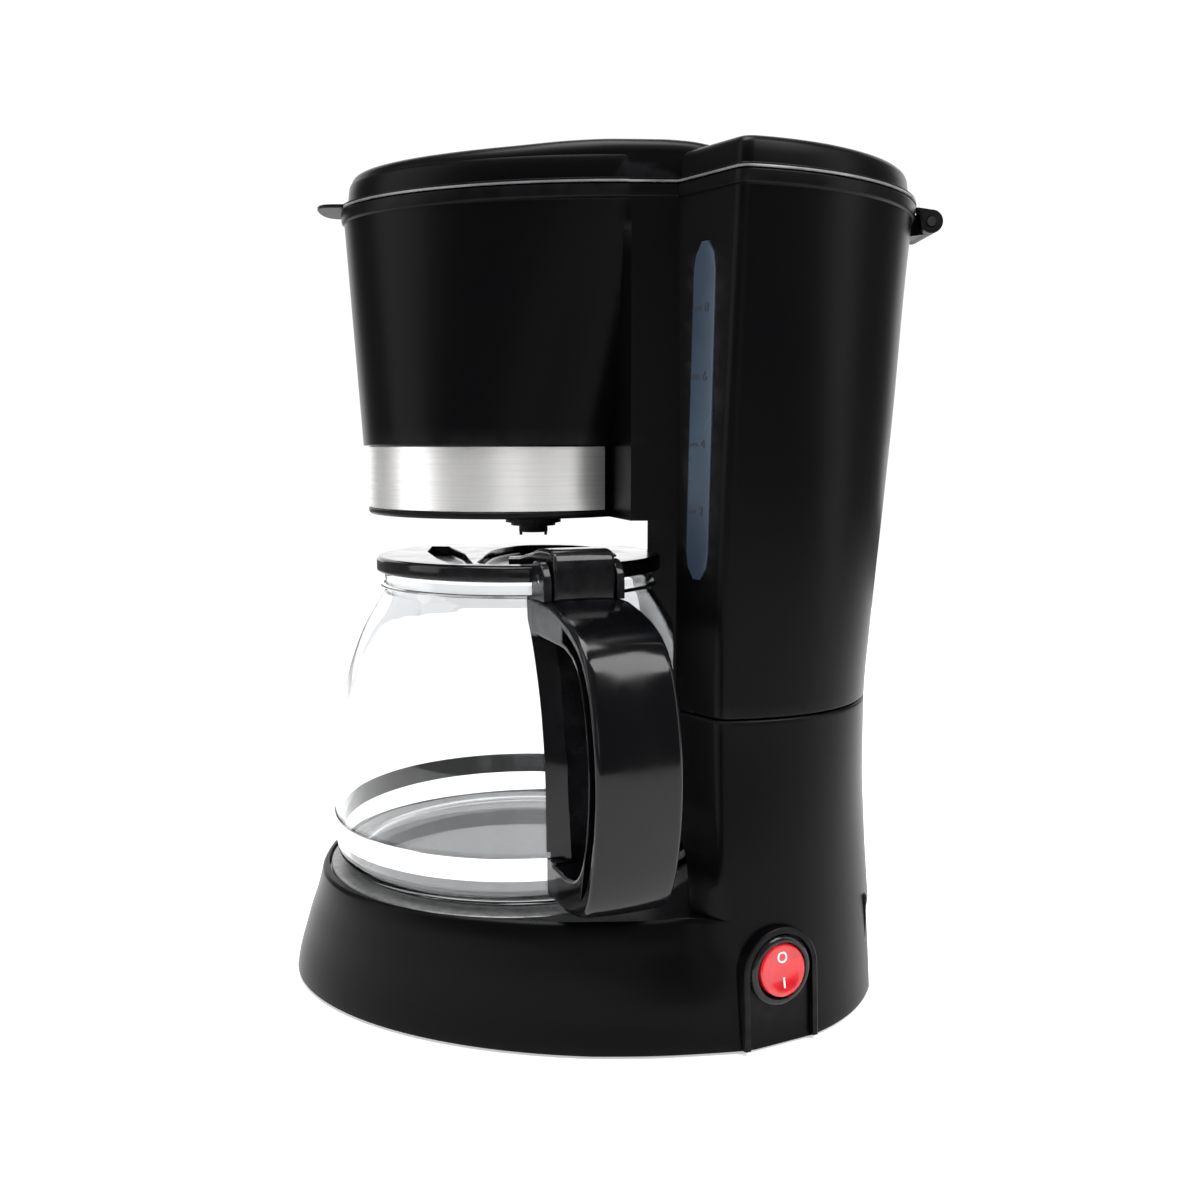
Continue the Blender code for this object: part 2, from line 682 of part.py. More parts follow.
def build_screws():
    for number, (x, y, _) in enumerate(screw_places(), 1):
        screw(f"bottom_screw_{number}", x, y, 2.1, 12)
    for number, side in enumerate((-1, 1), 1):
        screw(f"housing_screw_{number}", side * 45, 100, SHELF_Z - GAP, 11)


# ---------------------------------------------------------------- lid

def build_lid():
    foot = RIM_Z + GAP
    levels = [(foot, 1.0), (foot + 1.6, 1.0), (foot + 1.6, -1.8), (301.0, -2.4), (303.6, -4.6), (304.8, -8.5)]
    sections = [(z, mirrored(full_half(RIM_Z, out))) for z, out in levels]
    lid = make_object("lid", stacked(sections), "black_shell", (0, HINGE_Y, HINGE_Z))
    crown = [(299.0, -3.4), (304.5, -3.6), (306.8, -5.4), (LID_CROWN_Z, -9.5)]
    fuse(lid, loft([crown_ring(z, out) for z, out in crown]), "lid_crown")
    hollow = [(foot - 5, -4.8), (300.6, -5.4), (302.2, -9.0)]
    cut(lid, stacked([(z, mirrored(full_half(RIM_Z, out))) for z, out in hollow]), "lid_space")

    for y in (35.0, 78.0):
        x = PORT_X * (y - OUTLET_Y) / (PORT_Y - OUTLET_Y)
        fuse(lid, box((x - 3, y - 2, ARM_Z + 3.9 + GAP), (x + 3, y + 2, 303.2)), "arm_clip")
    nose_y = SIDE_FRONT_Y - HEAD_TOP_LENGTH
    tab = [(-13, nose_y + 3), (-12, nose_y - 5), (-8, nose_y - 8.4), (0, nose_y - 9.4),
           (8, nose_y - 8.4), (12, nose_y - 5), (13, nose_y + 3)]
    fuse(lid, stacked([(z, tab) for z in (foot + 0.1, foot + 1.4)]), "tab")
    for side in (-1, 1):
        ends = sorted((side * (KNUCKLE_HALF + 0.5), side * KNUCKLE_END))
        fuse(lid, lid_knuckle(*ends), "lid_knuckle")
    cut(lid, along_x(cylinder(HINGE_PIN_R + GAP, -40, 40, 16), HINGE_Y, HINGE_Z), "lid_pin_hole")
    return lid


def crown_ring(z, out):
    """Ring of the lid's crown, which rises to the middle and sinks into the tank's part of the lid."""
    half = head_arc(RIM_Z, out)
    half += [(half[-1][0], y) for y in (44.0, 50.0, 56.0, 62.0)] + [(0.0, 62.0)]
    return [(x, y, 299.0 + (z - 299.0) * at_height(y, CROWN_LIFT)) for x, y in mirrored(half)]


def lid_knuckle(low_x, high_x):
    """Barrel on the hinge pin with the web that joins it to the lid's rear edge."""
    outline = []
    for i in range(11):
        angle = math.radians(-150 + 240 * i / 10)
        outline.append((HINGE_Y + HINGE_BARREL_R * math.cos(angle), HINGE_Z + HINGE_BARREL_R * math.sin(angle)))
    web_low = RIM_Z + GAP + 0.1
    web_high = RIM_Z + 1.7
    outline += [(HINGE_Y - 5, web_high), (HINGE_Y - 14, web_high), (HINGE_Y - 14, web_low), (HINGE_Y - 4.9, web_low)]
    return loft([[(x, y, z) for y, z in outline] for x in (low_x, high_x)])


def build_hinge_pin():
    reach = KNUCKLE_END + 0.4
    pin = along_x(cylinder(HINGE_PIN_R, -reach, reach, 16), HINGE_Y, HINGE_Z)
    return make_object("hinge_pin", pin, "bright_steel", (0, HINGE_Y, HINGE_Z))


# ---------------------------------------------------------------- brewing parts

def circle(r, y, steps=24):
    return [(r * math.cos(math.tau * i / steps), y + r * math.sin(math.tau * i / steps)) for i in range(steps)]


def build_filter_basket():
    """Funnel with a flange that hangs on the ledge of the brewing head."""
    outer = [(174.8, 8.7, OUTLET_Y), (176, 8.7, OUTLET_Y), (176, 10.8, OUTLET_Y), (186, 10.8, OUTLET_Y),
             (186, 25, 4.0), (215, 31, 2.0), (284, 47, -3.0)]
    basket = make_object("filter_basket", stacked([(z, circle(r, y)) for z, r, y in outer]), "black_inner")
    flange = [(z, mirrored(head_half(282.0, -3.2, BASKET_BAY_REAR_Y - 0.5))) for z in (283.1, 285.2)]
    fuse(basket, stacked(flange), "basket_flange")
    inner = [(190, 23, 4.0), (215, 29, 2.0), (290, 46.6, -3.2)]
    cut(basket, stacked([(z, circle(r, y)) for z, r, y in inner]), "basket_space")
    cut(basket, cylinder(6.2, 170, 195, 20, (0, OUTLET_Y)), "outlet_bore")
    cut(basket, cylinder(8.3, 178, 188, 20, (0, OUTLET_Y)), "spring_chamber")
    return basket


def build_drip_valve():
    """Spring-loaded nozzle that the jug's lid would push up to open."""
    profile = [(0, 187.5), (4.2, 187.5), (4.2, 172.2), (5.6, 172.2), (5.6, 178.3), (7.8, 178.3), (7.8, 179.6),
               (5.6, 179.6), (5.6, 190.2), (2.0, 190.2), (2.0, 192.4), (4.5, 192.4), (4.5, 193.6), (0, 193.6)]
    valve = make_object("drip_valve", turned(profile, 20, (0, OUTLET_Y)), "black_inner", (0, OUTLET_Y, 180))
    for side in (-1, 1):
        y = OUTLET_Y + side * 4.85
        fuse(valve, box((-1.4, y - 0.55, 171.0), (1.4, y + 0.55, 173.5)), "prong")
    seal = [(2.3, 190.5), (8.4, 190.5), (8.4, 192.0), (2.3, 192.0)]
    make_object("drip_seal", turned(seal, 20, (0, OUTLET_Y)), "silicone", (0, OUTLET_Y, 180))
    turns, steps = 4, 10
    coil = []
    for i in range(turns * steps + 1):
        angle = math.tau * i / steps
        coil.append(Vector((6.95 * math.cos(angle), OUTLET_Y + 6.95 * math.sin(angle), 180.4 + 6.8 * i / (turns * steps))))
    make_object("drip_spring", tube(coil, 0.42, steps=5), "bright_steel")


def build_water_path():
    side = PORT_X
    riser = [Vector((side, PORT_Y, z)) for z in (112, 200, 286)]
    make_object("riser_tube", tube(riser, RISER_R, HOSE_BORE_R, 12), "black_inner")

    corners = [(side, PORT_Y, 286.4), (side, PORT_Y, ARM_Z), (0, OUTLET_Y, ARM_Z), (0, OUTLET_Y, ARM_Z - 5.8)]
    arm = [corners[0]] + soft_corner(*corners[:3], 5.2, 4) + soft_corner(*corners[1:], 5.2, 4) + [corners[3]]
    make_object("spray_arm", tube([Vector(p) for p in arm], 3.9, 2.6), "black_inner")
    head = [(2.6, 287.9), (4.2, 287.9), (4.6, 286.6), (19, 285.4), (20, 284.4), (20, 283.4), (18.6, 283.4),
            (18.2, 284.2), (2.6, 284.9)]
    shower = make_object("shower_head", turned(head, 20, (0, OUTLET_Y)), "black_inner")
    for i in range(6):
        angle = math.tau * i / 6
        spot = (12 * math.cos(angle), OUTLET_Y + 12 * math.sin(angle))
        cut(shower, cylinder(1.3, 278, 300, 6, spot), "spray_hole")

    valve = [(2.4, 117.8), (3.4, 117.8), (3.4, 121), (4.2, 122), (4.2, 126.8), (6.6, 126.8), (6.6, 128.2), (2.4, 128.2)]
    make_object("check_valve", turned(valve, 12, (-side, PORT_Y)), "silicone")
    strainer = [(2.8, 128.5), (6.2, 128.5), (6.2, 129.5), (5.2, 134), (2.8, 135.5), (2.0, 134.8), (4.4, 133.2), (5.4, 129.4),
                (2.8, 129.4)]
    make_object("tank_strainer", turned(strainer, 12, (-side, PORT_Y)), "bright_steel")

    for name, way, top in (("cold_hose", -1, 117.4), ("hot_hose", 1, 111.6)):
        route = [(way * side, PORT_Y, top), (way * side, PORT_Y, 95), (way * side, PORT_Y, 60),
                 (way * side, PORT_Y, 45), (way * side, PORT_Y - 4, 33), (way * side, 92, 28),
                 (way * side, 80, 27.6), (way * 20.4, 71, 28.4), (way * STUB_X, 64, 31.8),
                 (way * STUB_X, 58, HEATER_Z - 0.4), (way * STUB_X, STUB_Y + 0.6, HEATER_Z)]
        make_object(name, tube(smooth_path(route, 2), HOSE_R, HOSE_BORE_R), "silicone")
    clip = [(HOSE_R + GAP, -2.2), (HOSE_R + 1.1, -2.2), (HOSE_R + 1.1, 2.2), (HOSE_R + GAP, 2.2)]
    for name, x, z in (("cold_clip_top", -side, 102.5), ("hot_clip_top", side, 102.5)):
        bm = placed(turned(clip, 14), Matrix.Translation((x, PORT_Y, z)))
        make_object(name, bm, "bright_steel")


def build_heater():
    plate = [(0, 42.2), (74.6, 42.2), (PLATE_R, 43.0), (PLATE_R, 43.6), (74.4, DECK_Z), (66.5, DECK_Z), (65.5, DECK_Z - 0.3),
             (0, DECK_Z - 0.3)]
    plate_obj = make_object("warming_plate", turned(plate, 40), "plate_grey")
    fuse(plate_obj, cylinder(4.0, 33.0, 43, 14), "plate_stud")
    cut(plate_obj, cylinder(1.6, 30, 40, 12), "stud_pilot")
    seal = [(70.4, 40.6), (75.8, 40.6), (75.8, 41.9), (70.4, 41.9)]
    make_object("plate_seal", turned(seal, 40), "silicone")

    path = [Vector((-STUB_X, STUB_Y, HEATER_Z)), Vector((-STUB_X, STUB_Y - 4, HEATER_Z))]
    start, end = 115.0, 425.0
    for i in range(21):
        angle = math.radians(start + (end - start) * i / 20)
        path.append(Vector((HEATER_R * math.cos(angle), HEATER_R * math.sin(angle), HEATER_Z)))
    path += [Vector((STUB_X, STUB_Y - 4, HEATER_Z)), Vector((STUB_X, STUB_Y, HEATER_Z))]
    make_object("heater_element", tube(path, HEATER_TUBE_R), "aluminium")

    strap_z = HEATER_Z - HEATER_TUBE_R - 0.5
    strap = [(-56, -7), (56, -7), (56, 7), (-56, 7)]
    bracket = make_object("heater_bracket", stacked([(z, strap) for z in (strap_z - 1.2, strap_z)]), "bright_steel")
    cut(bracket, cylinder(1.9, 20, 40, 12), "bracket_hole")
    screw("bracket_screw", 0, 0, strap_z - 1.2 - GAP, 8.5)
    thermostat = [(0, 22.5), (5.5, 22.5), (6.5, 23.5), (6.5, 25.5), (9.5, 25.5), (9.5, 29.0), (0, 29.0)]
    make_object("thermostat", turned(thermostat, 20, (-30, 0)), "aluminium")
    fuse_path = [Vector((x, 0, 26.6)) for x in (20, 24, 42, 46)]
    make_object("thermal_fuse", tube(fuse_path, 2.4, steps=10), "silicone")


# ---------------------------------------------------------------- switch and inlet

def build_switch():
    """Round rocker switch whose rocker turns on two stub pins."""
    body = [(0, -16), (10.5, -16), (10.5, 0.5), (12.2, 0.5), (12.2, 1.6), (11.2, 2.4), (9.7, 2.4), (9.7, -6), (0, -6)]
    socket = make_object("switch_body", in_switch(turned(body, 28)), "black_inner", SWITCH)
    cut(socket, in_switch(along_x(cylinder(1.3, -14, 14, 10), 0, ROCKER_PIVOT)), "pivot_hole")
    rocker = [(0, -4.5), (5.5, -4.5), (8.9, -1.5), (8.9, 2.4), (8.1, 3.3), (5, 3.1), (0, 2.9)]
    pivot = Matrix.Translation((0, 0, ROCKER_PIVOT))
    tilt = pivot @ Matrix.Rotation(math.radians(SWITCH_REST_DEG), 4, "X") @ pivot.inverted()
    origin = switch_matrix() @ Vector((0, 0, ROCKER_PIVOT))
    body = make_object("switch_rocker", in_switch(placed(turned(rocker, 28), tilt)), "red_lens", origin)
    fuse(body, in_switch(along_x(cylinder(1.0, -10.3, 10.3, 10), 0, ROCKER_PIVOT)), "pivot_pins")


def build_cord_gland():
    profile = [(2.6, -8), (4.6, -8), (4.9, -1), (4.9, 2.4), (7.6, 2.4), (7.6, 4.2), (5.4, 7.0), (2.6, 7.0)]
    turn = Matrix.Translation((INLET_X, INLET_Y - 2.0, INLET_Z)) @ Matrix.Rotation(-math.pi / 2, 4, "X")
    return make_object("cord_gland", placed(turned(profile, 18), turn), "dark_rubber")


# ---------------------------------------------------------------- jug

def jug_profile():
    """Outer profile of the glass from the foot's edge to the mouth."""
    return [(66.6, JUG_FOOT_Z), (70.4, 46.4), (72.6, 50.5), (JUG_R + 0.2, 62), (JUG_R, 80), (71.6, 98), (68.6, 114),
            (64.6, 126.5), (59.6, 138), (53.8, 147.4), (52.0, 151.5), (52.4, JUG_MOUTH_Z)]


def build_jug_glass():
    outer = jug_profile()
    inner = [(r - GLASS_THICK, z) for r, z in reversed(outer[2:])]
    inner += [(66.6, JUG_FOOT_Z + 2.9), (60, JUG_FOOT_Z + 3.4), (0, JUG_FOOT_Z + 3.8)]
    under = [(0, JUG_FOOT_Z + 1.2), (60, JUG_FOOT_Z + 0.8), (64, JUG_FOOT_Z)]
    glass = make_object("carafe_glass", turned(under + outer + inner, 36), "clear_glass")
    return glass


def build_jug_rings():
    band = [(JUG_R + 0.5, 56.2), (JUG_R + 1.1, 56.2), (JUG_R + 1.1, 64.6), (JUG_R + 0.5, 64.6)]
    make_object("carafe_band", turned(band, 40), "bright_steel")
    neck = [(52.8, 150.6), (54.0, 150.6), (54.0, 153.4), (52.8, 153.4)]
    make_object("neck_ring", turned(neck, 36), "bright_steel")


def handle_matrix():
    """Frame of the handle: local X is outward from the jug's axis, local Y is across."""
    return Matrix.Rotation(HANDLE_RAD, 4, "Z")


def handle_outline():
    """Outer outline of the handle in its own plane, as (r, z), counter-clockwise from the foot."""
    reach = HANDLE_REACH
    return [(66, 50.3), (90, 50.3), (104, 53.4), (110.6, 58.4), (115, 68), (118, 81), (reach, 93), (reach, 103),
            (118.2, 113), (116.2, 122), (113.2, 131), (109.2, 138.6), (103, 144.6), (95, 148.6), (86, 151.2),
            (76, 153.2), (50, 154.4)]


def handle_window():
    """Finger opening of the handle."""
    return [(78.6, 63.6), (90, 63.2), (98, 65), (103.4, 69.4), (106.6, 75.5), (108.8, 84), (110.2, 94), (110.2, 105),
            (107.8, 118), (103.8, 129.6), (97.6, 136.6), (89, 139.8), (63.0, 140.6), (69.0, 128), (73.2, 114),
            (76.4, 98), (77.9, 80)]


def across(outline, half):
    """Plate of the given outline in the handle's plane, half wide to each side."""
    solid = loft([[(r, y, z) for r, z in outline] for y in (-half, half)])
    return placed(solid, handle_matrix())


def build_handle():
    half = HANDLE_WIDTH / 2
    levels = [(-half, 1.6), (-half + 1.6, 0.0), (half - 1.6, 0.0), (half, 1.6)]
    rings = []
    centre = Vector((90, 102))
    for y, inset in levels:
        ring = []
        for r, z in handle_outline():
            towards = (centre - Vector((r, z))).normalized() * inset
            ring.append((r + towards.x, y, z + towards.y))
        rings.append(ring)
    handle = make_object("carafe_handle", placed(loft(rings), handle_matrix()), "black_gloss")
    cut(handle, across(handle_window(), half + 5), "finger_opening")
    bowl = [(0, 30)] + [(r + 0.4, z) for r, z in [(66.6, 40)] + jug_profile()[2:]] + [(0, JUG_MOUTH_Z)]
    cut(handle, turned(bowl, 36), "bowl_clearance")
    cut(handle, cylinder(JUG_R + 1.6, 50, 66.5, 40), "band_clearance")
    cut(handle, cylinder(54.8, 149, 170, 36), "neck_clearance")
    slot = across([(40, 150.0), (72.4, 150.0), (72.4, 170), (40, 170)], 11.8)
    cut(handle, slot, "hinge_slot")
    for side in (-1, 1):
        ear = across([(57.6, 153), (70.5, 153), (70.5, 159), (69, 164), (66, 166.6), (61, 166.6), (57.6, 164)], 1.5)
        shift = handle_matrix() @ Vector((0, side * 13.45, 0))
        fuse(handle, placed(ear, Matrix.Translation(shift)), "hinge_cheek")
    cut(handle, jug_pin(HINGE_PIN_R + GAP, 30), "jug_pin_hole")
    hole = placed(cylinder(2.1, 60, 84, 14), Matrix.Rotation(math.pi / 2, 4, "Y"))
    cut(handle, placed(hole, handle_matrix() @ Matrix.Translation((0, 0, STUD_Z))), "band_stud_hole")
    return handle


def jug_pin(r, half):
    """Bar across the handle on the jug lid's hinge axis."""
    bar = placed(cylinder(r, -half, half, 14), Matrix.Rotation(-math.pi / 2, 4, "X"))
    return placed(bar, handle_matrix() @ Matrix.Translation((JUG_HINGE_R, 0, JUG_HINGE_Z)))


def build_band_stud():
    """Stud of the steel band, which holds the foot of the handle."""
    profile = [(0, 0), (1.7, 0), (1.7, 7.6), (1.2, 8.4), (0, 8.4)]
    bar = placed(turned(profile, 14), Matrix.Rotation(math.pi / 2, 4, "Y"))
    spot = handle_matrix() @ Matrix.Translation((JUG_R + 1.4, 0, STUD_Z))
    return make_object("band_stud", placed(bar, spot), "bright_steel")


def build_jug_lid():
    """Jug lid: a disc with a sunk pouring well and a thumb block on the hinge."""
    pivot = handle_matrix() @ Vector((JUG_HINGE_R, 0, JUG_HINGE_Z))
    top = JUG_LID_TOP_Z
    disc = [(0, 158.6), (49, 158.6), (49, 157.9), (JUG_LID_R - 0.8, 157.9), (JUG_LID_R, 158.7), (JUG_LID_R, top - 0.9),
            (JUG_LID_R - 0.9, top), (0, top)]
    lid = make_object("carafe_lid", turned(disc, 40), "black_gloss", pivot)
    well = [(-40, -15), (-22, -27), (2, -30), (30, -24), (30, 24), (2, 30), (-22, 27), (-40, 15)]
    sunk = loft([[(x, y, z) for x, y in well] for z in (160.6, 170)])
    cut(lid, placed(sunk, handle_matrix()), "pouring_well")
    block = [(48, 158.4), (56.5, 158.3), (60.5, 155.4), (62.5, 152), (70, 151.4), (71, 152.6), (71, 165), (70, 168.2),
             (67, 170.2), (56, 170.2), (48, 168.4), (34, 165.8), (20, 164.4), (20, 158.4)]
    fuse(lid, across(block, 11.3), "thumb_block")
    cut(lid, jug_pin(HINGE_PIN_R + GAP, 30), "lid_bore")
    return lid


def build_jug_pin():
    pivot = handle_matrix() @ Vector((JUG_HINGE_R, 0, JUG_HINGE_Z))
    return make_object("carafe_lid_pin", jug_pin(HINGE_PIN_R, 14.6), "bright_steel", pivot)


clear_scene()
MATERIALS = {name: make_material(name) for name in COLOURS}
MACHINE = make_empty("machine_frame", (-BOX_X, -BOX_Y, 0))

build_upper_housing()
build_trim_band()
build_water_gauge()
build_lower_housing()
build_bottom_cover()
build_feet()
build_screws()
build_lid()
build_hinge_pin()
build_filter_basket()
build_drip_valve()
build_water_path()
build_heater()
build_switch()
build_cord_gland()
build_jug_glass()
build_jug_rings()
build_handle()
build_band_stud()
build_jug_lid()
build_jug_pin()
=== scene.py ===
"""Drip coffee maker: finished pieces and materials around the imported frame.

Outlines are drawn in the jug's frame, in millimetres: the jug's axis is Z at X = Y = 0, the jug faces -Y
and the table is Z = 0. The jug's axis is read from the frame, and make_piece moves every piece there.
"""
import math

import bmesh
import bpy
from mathutils import Matrix, Vector


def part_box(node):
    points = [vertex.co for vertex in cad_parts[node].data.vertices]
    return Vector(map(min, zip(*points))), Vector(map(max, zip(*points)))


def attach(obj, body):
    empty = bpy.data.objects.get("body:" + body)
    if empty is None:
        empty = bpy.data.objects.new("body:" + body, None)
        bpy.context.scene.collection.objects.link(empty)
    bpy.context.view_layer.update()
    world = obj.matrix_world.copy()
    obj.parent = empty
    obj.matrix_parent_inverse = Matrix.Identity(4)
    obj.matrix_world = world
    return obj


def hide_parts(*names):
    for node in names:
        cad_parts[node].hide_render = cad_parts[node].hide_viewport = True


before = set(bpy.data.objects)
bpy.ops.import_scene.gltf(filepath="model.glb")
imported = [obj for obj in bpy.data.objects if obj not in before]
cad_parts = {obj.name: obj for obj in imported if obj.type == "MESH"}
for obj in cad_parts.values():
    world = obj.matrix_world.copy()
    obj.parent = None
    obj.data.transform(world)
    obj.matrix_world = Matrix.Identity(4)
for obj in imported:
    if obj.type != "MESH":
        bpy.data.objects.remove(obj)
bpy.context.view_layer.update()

MM = 0.001
GAP = 0.3                   # clearance between neighbouring parts
MERGE_MM = 1e-4             # points nearer than this are one
WELD_M = 1e-5               # the same for the result of a Boolean, in metres
SHARP_DEG = 32              # edges sharper than this stay sharp in the shading
CUT, JOIN = "DIFFERENCE", "UNION"

band_low, band_high = (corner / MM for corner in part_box("carafe_band"))
AXIS_X = (band_low.x + band_high.x) / 2
AXIS_Y = (band_low.y + band_high.y) / 2

# Heights
HOUSING_FOOT_Z = 0.7
CAVITY_TOP_Z = 37.0
DECK_Z = 44.3
SEAM_Z = 113.1
HEAD_Z = 180.0
RIM_Z = 292.3
LID_CROWN_Z = 308.0

# Housing outlines, as (z, value) knots
BODY_CENTRE_Y = 55.0
BODY_HALF_WIDTH = [(0, 92), (8, 90.3), (25, 88), (60, 84), (113, 79.5), (180, 82), (240, 85.5), (293, 89)]
BODY_REAR_Y = [(0, 139.6), (15, 138.6), (30, 137.4), (60, 134.8), (90, 133), (113, 132.8), (140, 134.7),
               (180, 138.7), (220, 142.8), (260, 145.9), (293, 149)]
BODY_ROUNDNESS = [(0, 2.2), (60, 2.4), (113, 2.6), (180, 2.4), (220, 2.2), (293, 2.0)]
RIDGE_Y = [(0, 74), (60, 71), (113, 69.5), (293, 73.5)]
CORNER_X = 61.5
CORNER_Y = 56.0
SIDE_FRONT_Y = 38.0
RECESS_R = 82.5
BELL_CENTRE_Y = 45.0
BELL_HALF_WIDTH = [(0, 92.6), (5, 91.6), (11, 90.3), (17, 89.3), (25, 88), (33, 86.3), (40, 84.6),
                   (44.3, 82.5)]
BELL_FRONT_Y = [(0, -90), (5, -89.2), (11, -87.8), (17, -86), (25, -83.6), (33, -80.8), (40, -78.8),
                (44.3, -77.8)]
BELL_ROUNDNESS = [(0, 2.0), (20, 2.1), (44.3, 2.4)]
CREASE_X = [(0, 92), (6, 90.8), (11, 89.6), (17, 88), (25, 83), (33, 77.5), (40, 75.5), (48, 74), (60, 68),
            (80, 62), (90, CORNER_X), (113, CORNER_X)]
CREASE_Y = [(0, 50), (11, 50), (17, 52), (25, 56), (33, 58.5), (40, 59.5), (60, 58), (80, CORNER_Y)]
CREASE_ROUNDS = [(0, 30), (44, 14), (56, 0)]        # times that the crease is evened out
RECESS = [(DECK_Z, 96), (48, 94.8), (60, 92), (70, 87), (80, 83.6), (90, RECESS_R)]

HEAD_BOTTOM_R = 53.2
HEAD_BOTTOM_Y = -4.5
HEAD_WRAP_DEG = 137.0
HEAD_TOP_HALF_WIDTH = 62.0
HEAD_TOP_LENGTH = 103.3
HEAD_TOP_ROUNDNESS = 1.85
BEAD_Z = 287.5
BAND_BOTTOM_Z = 182.6
BAND_TOP_Z = 205.4
GROOVE_DEPTH_BOTTOM = 1.2
GROOVE_DEPTH_TOP = 2.6
WALL = 2.7
TANK_FLOOR_Z = 126.5
TANK_FRONT_Y = 56.5
BAY_REAR_Y = 53.7
SHELF_Z = 107.5
PORT_X = 22.0
PORT_Y = 104.0
OUTLET_Y = 5.5

# Jug, its lid and its handle
JUG_R = 73.0
JUG_FOOT_Z = 44.6
JUG_MOUTH_Z = 157.5
GLASS = 2.2
JUG_LID_R = 55.3
JUG_LID_TOP_Z = 163.8
HANDLE_TURN = Matrix.Rotation(math.radians(20.0), 4, "Z")
HANDLE_HALF = 15.0
JUG_HINGE_R = 64.0
JUG_HINGE_Z = 160.5
JUG_PIN_R = 1.5

# Lid and its hinge
HINGE_Y = 155.5
HINGE_Z = 289.0
BARREL_R = 4.3
LID_PIN_R = 1.8
KNUCKLE_HALF = 8.8
KNUCKLE_END = 13.8
CROWN_LIFT = [(-65, 0.80), (-30, 0.85), (0, 0.93), (20, 1.05), (34, 1.095), (50, 1.09), (60, 1.02), (70, 0.8),
              (84, 0.5)]

# Switch and cord gland
SWITCH = (82.2, 90.0, 27.0)
SWITCH_TURN_DEG = 25.0
SWITCH_LEAN_DEG = 3.0
SWITCH_REST_DEG = -7.0
ROCKER_PIVOT = -2.0
INLET_X = 27.0
INLET_Y = 127.6
INLET_Z = 24.0


# ------------------------ materials

CONVEX = (0.515, 0.56)      # Pointiness where edge wear starts and where it is full


class Paint:
    """A Principled material with short calls for its procedural nodes, in object coordinates."""

    def __init__(self, name, colour, roughness, metallic=0.0, **sockets):
        self.material = bpy.data.materials.new(name)
        self.material.use_nodes = True
        self.tree = self.material.node_tree
        self.shader = self.tree.nodes["Principled BSDF"]
        self.set("Base Color", (*colour, 1.0))
        self.set("Roughness", roughness)
        self.set("Metallic", metallic)
        for socket, value in sockets.items():
            self.set(socket.replace("_", " "), value)
        self.coords = self.tree.nodes.new("ShaderNodeTexCoord").outputs["Object"]
        self.noises = {}
        self.height = None

    def set(self, socket, value):
        self.shader.inputs[socket].default_value = value

    def link(self, source, target):
        self.tree.links.new(source, target)

    def noise(self, scale, stretch=(1, 1, 1), detail=3.0, rough=0.5):
        """Noise of about 1/scale metres, finer or coarser along an axis by stretch."""
        key = (scale, stretch, detail, rough)
        if key not in self.noises:
            mapping = self.tree.nodes.new("ShaderNodeMapping")
            mapping.inputs["Scale"].default_value = stretch
            self.link(self.coords, mapping.inputs["Vector"])
            node = self.tree.nodes.new("ShaderNodeTexNoise")
            for socket, number in (("Scale", scale), ("Detail", detail), ("Roughness", rough)):
                node.inputs[socket].default_value = number
            self.link(mapping.outputs["Vector"], node.inputs["Vector"])
            self.noises[key] = node.outputs["Fac"]
        return self.noises[key]

    def spread(self, value, low, high, start=0.3, end=0.7):
        """Map value from start..end to low..high."""
        node = self.tree.nodes.new("ShaderNodeMapRange")
        self.link(value, node.inputs["Value"])
        for socket, number in (("From Min", start), ("From Max", end), ("To Min", low), ("To Max", high)):
            node.inputs[socket].default_value = number
        return node.outputs["Result"]

    def colour(self, factor, first, second):
        """Base colour, from first to second as the factor rises."""
        node = self.tree.nodes.new("ShaderNodeMix")
        node.data_type = "RGBA"
        self.link(factor, node.inputs["Factor"])
        node.inputs["A"].default_value = (*first, 1.0)
        node.inputs["B"].default_value = (*second, 1.0)
        self.link(node.outputs["Result"], self.shader.inputs["Base Color"])

    def edge_wear(self, base, worn):
        """Lighter colour along convex edges, broken up by noise."""
        geometry = self.tree.nodes.new("ShaderNodeNewGeometry")
        product = self.tree.nodes.new("ShaderNodeMath")
        product.operation = "MULTIPLY"
        self.link(self.spread(geometry.outputs["Pointiness"], 0.0, 1.0, *CONVEX), product.inputs[0])
        self.link(self.spread(self.noise(140, detail=6), 0.1, 0.9), product.inputs[1])
        self.colour(product.outputs[0], base, worn)

    def bump(self, value, distance, strength):
        """Add a bump of that many metres on top of those already there."""
        node = self.tree.nodes.new("ShaderNodeBump")
        node.inputs["Distance"].default_value = distance
        node.inputs["Strength"].default_value = strength
        self.link(value, node.inputs["Height"])
        if self.height:
            self.link(self.height, node.inputs["Normal"])
        self.height = node.outputs["Normal"]
        self.link(self.height, self.shader.inputs["Normal"])


def finish(name, base, rough, metallic=0.0, tint=None, wear=None, gloss=None, relief=(), **sockets):
    """Material made from a few noises, each given by the arguments of Paint.noise.

    tint is (noise, colour, colour), wear is (colour, colour of worn edges), gloss is (noise, roughness,
    roughness) and relief is a list of (noise, metres, strength).
    """
    paint = Paint(name, base, rough, metallic, **sockets)
    if tint:
        paint.colour(paint.spread(paint.noise(*tint[0]), 0.0, 1.0), *tint[1:])
    if wear:
        paint.edge_wear(*wear)
    if gloss:
        paint.link(paint.spread(paint.noise(*gloss[0]), *gloss[1:]), paint.shader.inputs["Roughness"])
    for grain, metres, strength in relief:
        paint.bump(paint.noise(*grain), metres, strength)
    return paint.material


